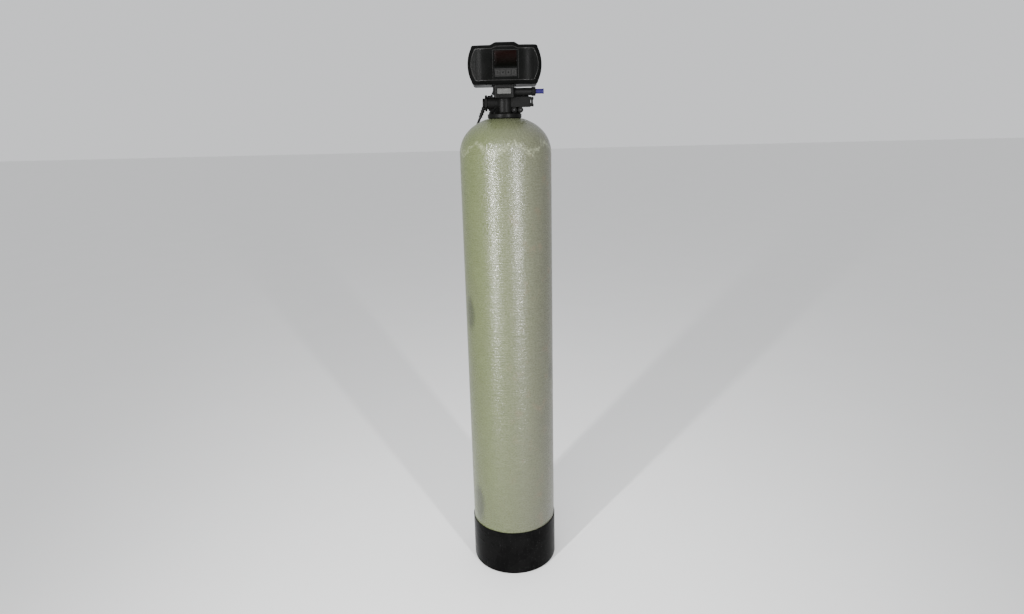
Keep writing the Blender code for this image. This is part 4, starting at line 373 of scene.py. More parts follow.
def spun(bm, profile, sides, centre, axis):
    """Turn (radius, height) points about an axis through a centre; both ends may lie on the axis."""
    axis = Vector(axis).normalized()
    across = axis.orthogonal().normalized()
    start = [bm.verts.new(Vector(centre) + across * r + axis * h) for r, h in profile]
    edges = [bm.edges.new(pair) for pair in zip(start, start[1:])]
    if profile[0][0] > 1e-7 or profile[-1][0] > 1e-7:
        edges.append(bm.edges.new((start[-1], start[0])))
    bmesh.ops.spin(bm, geom=edges, cent=centre, axis=axis, angle=ROUND, steps=sides, use_merge=True)


def softened(profile, radius, steps=3):
    """A profile with its corners off the axis rounded."""
    points = [Vector(p) for p in profile]
    soft = [points[0]]
    for before, here, after in zip(points, points[1:], points[2:]):
        back = (before - here)
        ahead = (after - here)
        if back.length < 1e-7 or ahead.length < 1e-7 or here.x < 1e-6:
            soft.append(here)
            continue
        reach = min(radius, back.length * 0.45, ahead.length * 0.45)
        a, b = here + back.normalized() * reach, here + ahead.normalized() * reach
        for step in range(steps + 1):
            t = step / steps
            soft.append(a * (1 - t) ** 2 + here * 2 * t * (1 - t) + b * t * t)
    soft.append(points[-1])
    return [tuple(p) for p in soft]


def cad_mesh(node):
    """A node's own mesh as a cleaned bmesh with flat faces joined up."""
    bm = bmesh.new()
    bm.from_mesh(frame["nodes"][node].data)
    bmesh.ops.remove_doubles(bm, verts=bm.verts, dist=1e-6)
    return bm


def turned_profile(node, centre, axis):
    """The (radius, height) profile of a node that was turned about an axis."""
    bm = cad_mesh(node)
    axis = Vector(axis).normalized()
    centre = Vector(centre)
    spots = {}
    for vert in bm.verts:
        offset = vert.co - centre
        height = offset.dot(axis)
        spots[vert] = ((offset - axis * height), height)
    first = max(spots, key=lambda v: spots[v][0].length)
    way = spots[first][0].normalized()
    on_line = {v for v, (out, _) in spots.items()
               if out.length < 1e-5 or (out.normalized() - way).length < 0.004}
    links = {v: [e.other_vert(v) for e in v.link_edges if e.other_vert(v) in on_line] for v in on_line}
    ends = [v for v in on_line if spots[v][0].length < 1e-5]
    here = min(ends or on_line, key=lambda v: spots[v][1])
    chain = [here]
    while True:
        onward = [v for v in links[chain[-1]] if v not in chain]
        if not onward:
            break
        chain.append(onward[0])
    profile = [(0.0 if spots[v][0].length < 1e-5 else spots[v][0].length, spots[v][1]) for v in chain]
    bm.free()
    return profile


def turned_like(node, look, centre, axis, soft):
    """A smooth, softened turning of a node's own profile in place of its faceted solid."""
    bm = bmesh.new()
    spun(bm, softened(turned_profile(node, centre, axis), soft), 56, centre, axis)
    return add_mesh(f"{node}_turned", bm, look, [node])


def dressed(node, look, width, body="filter", segments=2):
    """A node's own shape with fine round edges in place of its solid."""
    bm = cad_mesh(node)
    bmesh.ops.dissolve_limit(bm, angle_limit=math.radians(0.6), verts=bm.verts, edges=bm.edges)
    piece = add_mesh(f"{node}_finished", bm, look, [node], body, 40.0)
    bevel = piece.modifiers.new("edges", "BEVEL")
    bevel.width = width
    bevel.segments = segments
    bevel.limit_method = "ANGLE"
    bevel.angle_limit = math.radians(32)
    bevel.harden_normals = True
    bevel.use_clamp_overlap = True
    return piece


def extruded(bm, outline, low, high, place, spin):
    """Add a flat outline extruded along its own Z, then turned and moved."""
    turn = Matrix.Translation(Vector(place)) @ spin.to_4x4()
    bottom = [bm.verts.new(turn @ Vector((x, y, low))) for x, y in outline]
    top = [bm.verts.new(turn @ Vector((x, y, high))) for x, y in outline]
    bm.faces.new(bottom[::-1])
    bm.faces.new(top)
    for i in range(len(outline)):
        k = (i + 1) % len(outline)
        bm.faces.new((bottom[i], bottom[k], top[k], top[i]))


def rounded(width, depth, radius, centre=(0, 0), steps=5):
    """A rectangle with round corners, as (x, y) points."""
    points = []
    for turn, sx, sy in ((0, 1, 1), (1, -1, 1), (2, -1, -1), (3, 1, -1)):
        cx = centre[0] + sx * (width / 2 - radius)
        cy = centre[1] + sy * (depth / 2 - radius)
        for step in range(steps + 1):
            angle = (turn + step / steps) * math.pi / 2
            points.append((cx + radius * math.cos(angle), cy + radius * math.sin(angle)))
    return points


LEVEL = Matrix.Identity(3)
FACING = Matrix.Rotation(math.pi / 2, 3, "X")
RIGHT = Vector((1, 0, 0))
LEFT = Vector((-1, 0, 0))
BACK = Vector((0, 1, 0))
FRONT = Vector((0, -1, 0))
UP = Vector((0, 0, 1))


def solid(bm):
    """A bmesh as a passing object for booleans."""
    bmesh.ops.remove_doubles(bm, verts=bm.verts, dist=1e-6)
    bmesh.ops.recalc_face_normals(bm, faces=bm.faces)
    mesh = bpy.data.meshes.new("solid")
    bm.to_mesh(mesh)
    bm.free()
    item = bpy.data.objects.new("solid", mesh)
    bpy.context.collection.objects.link(item)
    return item


def merged(target, operation, tools):
    """Add tools to a solid, or cut them from it."""
    for tool in tools:
        step = target.modifiers.new(operation, "BOOLEAN")
        step.operation = operation
        step.solver = "EXACT"
        step.object = tool
        bpy.context.view_layer.update()
        result = bpy.data.meshes.new_from_object(target.evaluated_get(bpy.context.evaluated_depsgraph_get()))
        target.modifiers.remove(step)
        target.data = result
        bpy.data.objects.remove(tool)
    return target


def opened(item):
    """A solid back as a bmesh, with flat neighbours joined up."""
    bm = bmesh.new()
    bm.from_mesh(item.data)
    bpy.data.objects.remove(item)
    bmesh.ops.dissolve_limit(bm, angle_limit=math.radians(0.5), verts=bm.verts, edges=bm.edges)
    return bm


def moulding(name, item, look, node, sharp=35.0):
    """A solid as the finished piece that stands for a CAD node."""
    return add_mesh(name, opened(item), look, [node], sharp=sharp)


def turned(profile, centre, axis, sides=48, soft=0.0):
    """A turned solid for booleans."""
    bm = bmesh.new()
    spun(bm, softened(profile, soft) if soft else profile, sides, centre, axis)
    return solid(bm)


def bar(radius, low, high, centre, axis, sides=48):
    """A plain round bar or drill for booleans."""
    return turned([(0, low), (radius, low), (radius, high), (0, high)], centre, axis, sides)


def block(outline, low, high, place=(0, 0, 0), spin=FACING):
    """An extruded solid for booleans."""
    bm = bmesh.new()
    extruded(bm, outline, low, high, place, spin)
    return solid(bm)


def sheet(sides, low, high, back, face, radius=0.0015, steps=5):
    """A plate that faces the front, for booleans."""
    centre = ((sides[0] + sides[1]) / 2, (low + high) / 2)
    return block(rounded(sides[1] - sides[0], high - low, radius, centre, steps), back, face)


# Power lead: the same route as its solids
RELIEF_LENGTH = 0.0220
CORD_RADIUS = 0.0035
SMOOTH_STEPS = 32
CORD_ROUTE = (
    (-0.0255, 0.0385, 1.4578), (-0.0268, 0.0385, 1.4480), (-0.0325, 0.0385, 1.4375), (-0.0430, 0.0395, 1.4285),
    (-0.0520, 0.0410, 1.4175), (-0.0600, 0.0450, 1.3990), (-0.0690, 0.0510, 1.3790), (-0.0780, 0.0610, 1.3600),
    (-0.0875, 0.0730, 1.3390), (-0.0950, 0.0825, 1.3160), (-0.0990, 0.0875, 1.2920), (-0.1008, 0.0905, 1.2600),
    (-0.1016, 0.0920, 1.2000), (-0.1018, 0.0925, 1.0000), (-0.1018, 0.0925, 0.8000), (-0.1018, 0.0925, 0.6000),
    (-0.1018, 0.0925, 0.4000), (-0.1018, 0.0926, 0.2000), (-0.1017, 0.0930, 0.0900), (-0.1015, 0.0937, 0.0398),
    (-0.0997, 0.0982, 0.0218), (-0.0948, 0.1104, 0.0087), (-0.0882, 0.1272, 0.0038), (-0.0800, 0.1450, 0.0038),
    (-0.0757, 0.1592, 0.0038),
)
COIL_CENTRE = Vector((-0.0350, 0.1900, 0.0))
COIL_RINGS = (0.0366, 0.0437)
COIL_LAYERS = (0.0050, 0.0121)
COIL_TURNS = 3.25
TURN_POINTS = 48
COIL_ENTRY = (-0.0772, 0.1740, 0.0046)
NUB_END = Vector((-0.0037, 0.23025, 0.0095))
LEAD_OUT = ((-0.0200, 0.2325, 0.0118), (-0.0100, 0.2308, 0.0103))


def smooth_route(points):
    """Closely spaced points on a smooth curve through the route's points."""
    route = [Vector(p) for p in points]
    route = [2 * route[0] - route[1], *route, 2 * route[-1] - route[-2]]
    dense = []
    for i in range(1, len(route) - 2):
        before, start, end, after = route[i - 1:i + 3]
        t1 = (start - before).length ** 0.5
        t2 = t1 + (end - start).length ** 0.5
        t3 = t2 + (after - end).length ** 0.5
        for step in range(SMOOTH_STEPS):
            t = t1 + (t2 - t1) * step / SMOOTH_STEPS
            a1 = before * (t1 - t) / t1 + start * t / t1
            a2 = start * (t2 - t) / (t2 - t1) + end * (t - t1) / (t2 - t1)
            a3 = end * (t3 - t) / (t3 - t2) + after * (t - t2) / (t3 - t2)
            b1 = a1 * (t2 - t) / t2 + a2 * t / t2
            b2 = a2 * (t3 - t) / (t3 - t1) + a3 * (t - t1) / (t3 - t1)
            dense.append(b1 * (t2 - t) / (t2 - t1) + b2 * (t - t1) / (t2 - t1))
    return [*dense, route[-2]]


def coil_step(turn, changes):
    """A value that eases from one number to the next between two turn counts, for each change."""
    value = changes[0]
    for start, end, after in changes[1:]:
        share = min(1.0, max(0.0, (turn - start) / (end - start)))
        value += (after - value) * share * share * (3 - 2 * share)
    return value


def coil_points():
    """Turns of the coil: outer ring, inner ring, then the same on top and out to the adapter."""
    inner, outer = COIL_RINGS
    low, high = COIL_LAYERS
    points = []
    for step in range(int(COIL_TURNS * TURN_POINTS) + 1):
        turn = step / TURN_POINTS
        radius = coil_step(turn, (outer, (0.90, 1.0, inner), (2.70, 2.80, outer)))
        height = coil_step(turn, (low, (1.80, 1.90, high)))
        angle = math.pi - ROUND * turn
        points.append(COIL_CENTRE + Vector((radius * math.cos(angle), radius * math.sin(angle), height)))
    return points


def thinned(points, most_turn, shortest, longest):
    """Fewer points along a dense route: close together in bends, further apart where it is straight."""
    kept = [points[0]]
    reach = turn = 0.0
    for before, here, after in zip(points, points[1:], points[2:]):
        reach += (here - before).length
        turn += (here - before).angle(after - here)
        if reach >= longest or (reach >= shortest and turn >= most_turn):
            kept.append(here)
            reach = turn = 0.0
    return [*kept, points[-1]]


def lead_points():
    """The strain relief's stretch of the route, and the whole lead's from there to the adapter."""
    dense = smooth_route(CORD_ROUTE)
    reach = 0.0
    index = 0
    while reach < RELIEF_LENGTH:
        reach += (dense[index + 1] - dense[index]).length
        index += 1
    coil = coil_points()
    joined = smooth_route([*CORD_ROUTE[-2:], COIL_ENTRY, coil[0], coil[2], coil[4]])
    join = joined[SMOOTH_STEPS:SMOOTH_STEPS * 3]
    out = smooth_route([coil[-3], coil[-1], *LEAD_OUT, NUB_END, NUB_END + RIGHT * 0.01])
    out = out[SMOOTH_STEPS:SMOOTH_STEPS * 4 + 1]
    return dense[:index + 1], thinned([*dense[index:-1], *join, *coil[:-1], *out],
                                      math.radians(4), 0.002, 0.02)


def swept(bm, points, radii, sides, bore=None):
    """Add a tapered bar along points to a bmesh; with a bore it is a hollow sleeve."""
    across = BACK
    outer, inner = [], []
    for i, point in enumerate(points):
        ahead = points[min(i + 1, len(points) - 1)] - point
        behind = point - points[max(i - 1, 0)]
        along = (ahead.normalized() + behind.normalized()).normalized()
        across = (across - along * across.dot(along)).normalized()
        other = along.cross(across)
        for radius, loops in ((radii[i], outer), (bore, inner)):
            if radius is not None:
                loops.append([bm.verts.new(point + radius * (math.cos(ROUND * k / sides) * across
                                                             + math.sin(ROUND * k / sides) * other))
                              for k in range(sides)])
    chain = outer + inner[::-1]
    pairs = list(zip(chain, chain[1:]))
    if inner:
        pairs.append((chain[-1], chain[0]))
    else:
        bm.faces.new(chain[0])
        bm.faces.new(chain[-1])
    for first, second in pairs:
        for k in range(sides):
            m = (k + 1) % sides
            bm.faces.new((first[k], first[m], second[m], second[k]))


GLAND_PLACE = (-0.0255, 0.0385, 0.0)
GLAND_NECK = 0.0042
GLAND_FLANGE = 0.0066
GLAND_LIP = 0.0016
SHELF_LOW = 1.4598
SHELF_THICKNESS = 0.0026
RELIEF_ROOT = 0.0058
RELIEF_TIP = 0.0044
RELIEF_RIBS = 5
SLEEVE_START = 0.0080
SLEEVE_PITCH = 0.0042
SLEEVE_RINGS = 15
SLEEVE_ROOT = 0.0064
SLEEVE_TIP = 0.0050
SLEEVE_RIB = 0.0007
SLEEVE_STEP = 0.0007


def spaced(points, gap, length):
    """Points an even gap apart along a route, up to a length."""
    kept = [points[0].copy()]
    left = gap
    for start, end in zip(points, points[1:]):
        span = (end - start).length
        while span >= left:
            start = start.lerp(end, left / span)
            kept.append(start.copy())
            span -= left
            left = gap
            if len(kept) * gap > length:
                return kept
        left -= span
    return kept


def make_gland(relief):
    """Bush in the shelf with its tapered, grooved strain relief."""
    top = SHELF_LOW + SHELF_THICKNESS + TOUCH
    low = SHELF_LOW - TOUCH
    profile = [(0, low - GLAND_LIP), (GLAND_FLANGE, low - GLAND_LIP), (GLAND_FLANGE, low), (GLAND_NECK, low),
               (GLAND_NECK, top), (GLAND_FLANGE, top), (GLAND_FLANGE - 0.001, top + GLAND_LIP),
               (0, top + GLAND_LIP)]
    bush = turned(profile, GLAND_PLACE, UP, soft=0.0003)
    points = spaced([relief[0] + UP * GLAND_LIP / 2, *relief], 0.0005, RELIEF_LENGTH)
    count = len(points) - 1
    radii = []
    for i in range(count + 1):
        share = i / count
        wave = math.cos(ROUND * RELIEF_RIBS * share) if 0.1 < share < 0.92 else 0.0
        groove = max(0.0, wave - 0.55) * 0.0012
        radii.append(RELIEF_ROOT + (RELIEF_TIP - RELIEF_ROOT) * share - groove)
    bm = bmesh.new()
    swept(bm, points, radii, 32)
    return moulding("cord_gland_finished", merged(bush, "UNION", [solid(bm)]), "black_rubber", "cord_gland")


def make_sleeve(lead):
    """Ribbed, tapered sleeve where the lead passes the side of the valve."""
    fine = spaced(lead, SLEEVE_STEP, SLEEVE_START + SLEEVE_PITCH * SLEEVE_RINGS)
    points = fine[round(SLEEVE_START / SLEEVE_STEP):]
    radii = []
    for i in range(len(points)):
        reach = i * SLEEVE_STEP
        share = reach / (SLEEVE_PITCH * SLEEVE_RINGS)
        wave = math.cos(ROUND * reach / (2 * SLEEVE_PITCH))
        radii.append(SLEEVE_ROOT + (SLEEVE_TIP - SLEEVE_ROOT) * share - SLEEVE_RIB * math.tanh(2.2 * wave))
    bm = bmesh.new()
    swept(bm, points, radii, 32, CORD_RADIUS + TOUCH)
    return add_mesh("cord_sleeve_finished", bm, "black_rubber", ["cord_sleeve"], sharp=60)


ADAPTER_START = 0.0205
ADAPTER_LENGTH = 0.0700
ADAPTER_WIDTH = 0.0480
ADAPTER_HEIGHT = 0.0400
ADAPTER_NUB = 0.0048
ADAPTER_MIDDLE = ADAPTER_START + ADAPTER_LENGTH / 2
PRONG_SPACING = 0.0127
PRONG_SIZE = (0.0015, 0.0063, 0.0170)


def make_adapter():
    """Plug-in adapter: rounded case with a split line, a grooved nub and two steel prongs."""
    y = NUB_END.y
    bm = bmesh.new()
    extruded(bm, rounded(ADAPTER_LENGTH, ADAPTER_WIDTH, 0.006, (ADAPTER_MIDDLE, y), 8), 0, ADAPTER_HEIGHT,
             (0, 0, 0), LEVEL)
    rim = [e for e in bm.edges if abs(e.verts[0].co.z - e.verts[1].co.z) < 1e-6]
    bmesh.ops.bevel(bm, geom=rim, offset=0.0018, segments=4, affect="EDGES", profile=0.5)
    case = solid(bm)
    groove = block(rounded(ADAPTER_LENGTH + 0.004, ADAPTER_WIDTH + 0.004, 0.008, (ADAPTER_MIDDLE, y), 8),
                   0.0275, 0.0281, spin=LEVEL)
    merged(groove, "DIFFERENCE", [block(rounded(ADAPTER_LENGTH - 0.0010, ADAPTER_WIDTH - 0.0010, 0.0055,
                                                (ADAPTER_MIDDLE, y), 8), 0.02, 0.035, spin=LEVEL)])
    merged(case, "DIFFERENCE", [groove])
    start = NUB_END.x
    nub = [(0, start), (ADAPTER_NUB * 0.85, start)]
    for rib in range(6):
        x = start + 0.0015 + rib * 0.0036
        crest = ADAPTER_NUB * (0.87 + 0.02 * rib)
        valley = ADAPTER_NUB * (0.72 + 0.02 * rib)
        nub += [(crest, x), (crest, x + 0.0022), (valley, x + 0.0024), (valley, x + 0.0034)]
    nub += [(ADAPTER_NUB, ADAPTER_START + 0.002), (0, ADAPTER_START + 0.002)]
    merged(case, "UNION", [turned(nub, (0, y, NUB_END.z), RIGHT, 32)])
    piece = moulding("power_adapter_finished", case, "adapter_plastic", "power_adapter")
    for side, word in SIDES:
        thick, wide, tall = PRONG_SIZE
        bm = bmesh.new()
        extruded(bm, rounded(thick, wide, 0.0006, (ADAPTER_MIDDLE + side * PRONG_SPACING / 2, y), 3),
                 ADAPTER_HEIGHT - 0.0005, ADAPTER_HEIGHT + tall, (0, 0, 0), LEVEL)
        prong = add_mesh(f"adapter_prong_{word}", bm, "steel")
        prong.parent = piece
    return piece


def make_lead():
    """Strain relief, sleeve, lead with its coil, tie and adapter."""
    relief, lead = lead_points()
    curve = bpy.data.curves.new("power_lead", "CURVE")
    curve.dimensions = "3D"
    curve.bevel_depth = CORD_RADIUS
    curve.bevel_resolution = 5
    curve.use_fill_caps = True
    spline = curve.splines.new("POLY")
    spline.points.add(len(lead) - 1)
    for knot, point in zip(spline.points, lead):
        knot.co = (*point, 1.0)
    spline.use_smooth = True
    curve.materials.append(LOOKS["cable_jacket"])
    piece = bpy.data.objects.new("power_lead", curve)
    bpy.context.collection.objects.link(piece)
    settle(piece, "filter", ["power_cord", "cord_coil"])
    pieces = [make_gland(relief), make_sleeve(lead), dressed("coil_tie", "black_rubber", 0.0004),
              make_adapter()]


make_camera()
make_lead()


# Tank and boot
BOOT_WALL = 0.0020
BOOT_HEIGHT = 0.1460
BOOT_EDGE = 0.0080
BOOT_FLOOR = 0.0040
BOOT_RECESS = 0.0050
FOOT_RING = 0.0960
SEAT_RING = (0.0690, 0.0750)
TANK_WALL = 0.0045
TANK_FOOT = 0.0160
BOTTOM_DOME = 0.0600
DOME_HEIGHT = 0.1020
DOME_FULLNESS = 2.17
DOME_ROUNDNESS = 2.06
NECK_RADIUS = 0.0500
NECK_BORE = 0.0330
BOTTOM_BASE = TANK_FOOT + BOTTOM_DOME
WIND_SWELL = 0.0004


def dome_height(radius):
    """How high the top dome has risen where it has narrowed to a radius."""
    return DOME_HEIGHT * (1 - (radius / TANK_RADIUS) ** DOME_ROUNDNESS) ** (1 / DOME_FULLNESS)


def tank_profile(full, neck, base, foot_depth, steps):
    """Bottom dome, wall and top dome as (radius, height) points."""
    points = [(full * math.sin(step / steps * math.pi / 2),
               BOTTOM_BASE - foot_depth * math.cos(step / steps * math.pi / 2)) for step in range(steps + 1)]
    rise = DOME_HEIGHT * (1 - (neck / full) ** DOME_ROUNDNESS) ** (1 / DOME_FULLNESS)
    for step in range(2 * steps + 1):
        climb = rise * math.sin(step / (2 * steps) * math.pi / 2)
        share = (climb / DOME_HEIGHT) ** DOME_FULLNESS
        points.append((full * (1 - share) ** (1 / DOME_ROUNDNESS), base + climb))
    return points


def make_tank():
    """Wound shell, open at the neck, with the wall wound a little fuller than the dome."""
    base = TANK_TOP - dome_height(NECK_RADIUS)
    outer = tank_profile(TANK_RADIUS, NECK_RADIUS, base, BOTTOM_DOME, 20)
    outer = [(r - (WIND_SWELL if z > HOOP_TOP - 0.001 else 0.0), z) for r, z in outer]
    inner = tank_profile(TANK_RADIUS - TANK_WALL, NECK_BORE, base - TANK_WALL, BOTTOM_DOME - TANK_WALL, 8)
    bm = bmesh.new()
    spun(bm, [*outer, (NECK_BORE, TANK_TOP), *inner[::-1]], 160, (0, 0, 0), UP)
    add_mesh("wound_tank", bm, "wound_glass", ["tank_shell"], sharp=50)


def make_boot():
    """Moulded cup with a rolled rim, a rounded foot and a seat ring under the tank."""
    bore = TANK_RADIUS + TOUCH
    wall = bore + BOOT_WALL
    floor_top = BOOT_RECESS + BOOT_FLOOR
    seat = [(r, BOTTOM_BASE - BOTTOM_DOME * math.sqrt(1 - (r / TANK_RADIUS) ** 2) - TOUCH) for r in SEAT_RING]
    profile = [(0.0, floor_top), (SEAT_RING[0], floor_top), *seat, (SEAT_RING[1], floor_top),
               (bore - BOOT_EDGE, floor_top), (bore, floor_top + BOOT_EDGE), (bore, BOOT_HEIGHT - 0.0006),
               (bore + 0.0006, BOOT_HEIGHT), (wall - 0.0009, BOOT_HEIGHT), (wall, BOOT_HEIGHT - 0.0009)]
    for step in range(13):
        angle = step / 12 * math.pi / 2
        profile.append((wall - BOOT_EDGE + BOOT_EDGE * math.cos(angle),
                        BOOT_EDGE - BOOT_EDGE * math.sin(angle)))
    profile += [(FOOT_RING, 0.0), (FOOT_RING - BOOT_RECESS, BOOT_RECESS), (0.0, BOOT_RECESS)]
    bm = bmesh.new()
    spun(bm, profile, 160, (0, 0, 0), UP)
    add_mesh("boot", bm, "boot_plastic", ["base_boot"])


# Valve body, heights above the tank's top
NECK = Vector((0, 0, TANK_TOP))
COLLAR_RADIUS = 0.0470
COLLAR_HEIGHT = 0.0120
COLLAR_TAPER = 0.0040
SPIGOT_DEPTH = 0.0260
BODY_RADIUS = 0.0250
BODY_SHOULDER = 0.0060
BODY_TOP = 0.0585
BLOCK_WIDTH = 0.0560
BLOCK_FRONT = 0.0450
BLOCK_BACK = 0.0280
BLOCK_TOP = 0.0805
RIB_WIDTH = 0.0026
RIB_PROUD = 0.0018
STACK_RADIUS = 0.0178
STACK_FOOT = 0.0150
RISER_WELL = 0.01365
RISER_STOP = 0.0080
RING_SEAT = 0.01635
THROAT = 0.0095
FLOW_RING = (0.01815, 0.0282)
GROOVE = (-0.0083, -0.0047)
GROOVE_DEPTH = 0.0033
PORT_SPACING = 0.0370
PORT_HEIGHT = 0.0355
PORT_RADIUS = 0.0125
PORT_BORE = 0.0090
PORT_END = 0.0440
PORT_FLANGE = 0.0145
FLANGE_WIDTH = 0.0040
DRAIN_HEIGHT = 0.0420
DRAIN_RADIUS = 0.0165
DRAIN_FACE = 0.0470
DRAIN_BORE = 0.0110
WEB_THICKNESS = 0.0050
WEB_INSET = 0.0030
GUSSET_ANGLES = (48, 128, 156, 204, 232)
GUSSET_WIDTH = 0.0042
GUSSET_REACH = 0.0462
GUSSET_TOP = 0.0300
INJECTOR_TOP = 0.0570
INJECTOR_LOW = 0.0300
INJECTOR_FACE = 0.0752
INJECTOR_DEPTH = 0.0340
SLIT_WIDTH = 0.0024
SLIT_HEIGHTS = (0.0400, 0.0490)
BOSS_RADIUS = 0.0075
BOSS_FRONT = 0.0240
BOSS_LENGTH = 0.0340
BOSSES = ((0.0440, 0.0225), (0.0265, 0.0225))
CAP_SCREWS = (0.0348, 0.0525)
HEAD_SCREWS = tuple((sx * 0.0225, y) for y in (-0.0370, 0.0210) for sx in (-1, 1))
SCREW_HOLE = 0.0023
SCREW_DEPTH = 0.0110


def port_line(side):
    """The point on a side port's axis that lies over the tank's middle."""
    return NECK + Vector((side * PORT_SPACING / 2, 0, PORT_HEIGHT))


def arc(centre, radius, start, end, steps=6):
    """Points of an arc, with its angles in quarter turns."""
    return [(centre[0] + radius * math.cos((start + (end - start) * i / steps) * math.pi / 2),
             centre[1] + radius * math.sin((start + (end - start) * i / steps) * math.pi / 2))
            for i in range(steps + 1)]


def valve_core():
    """Collar, spigot with its groove, and the upright body with a round shoulder."""
    spigot = NECK_BORE - TOUCH
    shoulder = BODY_RADIUS - BODY_SHOULDER
    low, high = GROOVE
    profile = [(0, -SPIGOT_DEPTH), (spigot, -SPIGOT_DEPTH), (spigot, low), (spigot - GROOVE_DEPTH, low),
               (spigot - GROOVE_DEPTH, high), (spigot, high), (spigot, TOUCH),
               *arc((COLLAR_RADIUS - COLLAR_TAPER, TOUCH + COLLAR_TAPER), COLLAR_TAPER, -1, 0),
               *arc((COLLAR_RADIUS - 0.0012, COLLAR_HEIGHT - 0.0004), 0.0012, 0, 1, 4),
               (COLLAR_RADIUS - 0.004, COLLAR_HEIGHT + 0.0014), (BODY_RADIUS + 0.0030, COLLAR_HEIGHT + 0.0028),
               *arc((BODY_RADIUS + 0.0024, COLLAR_HEIGHT + 0.0054), 0.0024, -1, -2, 5),
               *arc((shoulder, BODY_TOP - BODY_SHOULDER), BODY_SHOULDER, 0, 1), (0, BODY_TOP)]
    return turned(profile, NECK, UP, 96)


def valve_housings():
    """Block, rib, drain housing, injector block, bosses and ports, as separate solids."""
    middle = (BLOCK_BACK - BLOCK_FRONT) / 2
    drain = NECK + UP * DRAIN_HEIGHT
    tip = -DRAIN_FACE + WEB_INSET
    web_foot = COLLAR_HEIGHT - TOUCH
    parts = [
        block(rounded(BLOCK_WIDTH, BLOCK_FRONT + BLOCK_BACK, 0.006, (0, middle), 8), BODY_TOP - 0.0040,
              BLOCK_TOP, NECK, LEVEL),
        block([(-RIB_WIDTH / 2, COLLAR_HEIGHT - 0.001), (RIB_WIDTH / 2, COLLAR_HEIGHT - 0.001),
               (RIB_WIDTH / 2, BODY_TOP - 2 * BODY_SHOULDER), (-RIB_WIDTH / 2, BODY_TOP - 2 * BODY_SHOULDER)],
              BODY_RADIUS / 2, BODY_RADIUS + RIB_PROUD, NECK),
        turned([(0, 0), (DRAIN_RADIUS, 0), (DRAIN_RADIUS, DRAIN_FACE - 0.0008),
                (DRAIN_RADIUS - 0.0008, DRAIN_FACE), (0, DRAIN_FACE)], drain, LEFT, 64),
        block([(-BODY_RADIUS / 2, web_foot), (tip, web_foot + 2 * WEB_THICKNESS), (tip, BODY_TOP - WEB_INSET),
               (-BODY_RADIUS / 2, BODY_TOP + WEB_INSET)], -WEB_THICKNESS / 2, WEB_THICKNESS / 2, NECK),
        block(rounded(INJECTOR_FACE, INJECTOR_TOP - INJECTOR_LOW, 0.005,
                      (INJECTOR_FACE / 2, (INJECTOR_TOP + INJECTOR_LOW) / 2), 8), -INJECTOR_DEPTH / 2,
              INJECTOR_DEPTH / 2, NECK),
        block([(0, web_foot), (BOSSES[0][0], web_foot), (BOSSES[0][0], INJECTOR_LOW + TOUCH),
               (0, INJECTOR_LOW + TOUCH)], -WEB_THICKNESS, WEB_THICKNESS, NECK),
        block([(BLOCK_WIDTH / 2 - 0.004, INJECTOR_TOP - 0.003), (INJECTOR_FACE - 0.006, INJECTOR_TOP - 0.003),
               (INJECTOR_FACE - 0.010, INJECTOR_TOP + 0.007), (BLOCK_WIDTH / 2 - 0.004, BLOCK_TOP - 0.004)],
              -WEB_THICKNESS, WEB_THICKNESS, NECK),
    ]
    foot = BODY_RADIUS - 0.004
    for angle in GUSSET_ANGLES:
        parts.append(block([(foot, web_foot), (GUSSET_REACH, web_foot), (GUSSET_REACH, web_foot + 0.0060),
                            (BODY_RADIUS + 0.005, GUSSET_TOP), (foot, GUSSET_TOP + 0.006)], -GUSSET_WIDTH / 2,
                           GUSSET_WIDTH / 2, NECK, Matrix.Rotation(math.radians(angle), 3, "Z") @ FACING))
    for x, z in BOSSES:
        parts.append(turned([(0, 0), (BOSS_RADIUS - 0.0006, 0), (BOSS_RADIUS, 0.0006),
                             (BOSS_RADIUS, BOSS_LENGTH), (0, BOSS_LENGTH)],
                            NECK + Vector((x, -BOSS_FRONT, z)), BACK, 40))
    flange = PORT_END - FLANGE_WIDTH
    for side in (-1, 1):
        parts.append(turned([(0, 0), (PORT_RADIUS, 0), (PORT_RADIUS, flange), (PORT_FLANGE, flange),
                             (PORT_FLANGE, PORT_END), (0, PORT_END)], port_line(side), BACK, 56))
    return parts


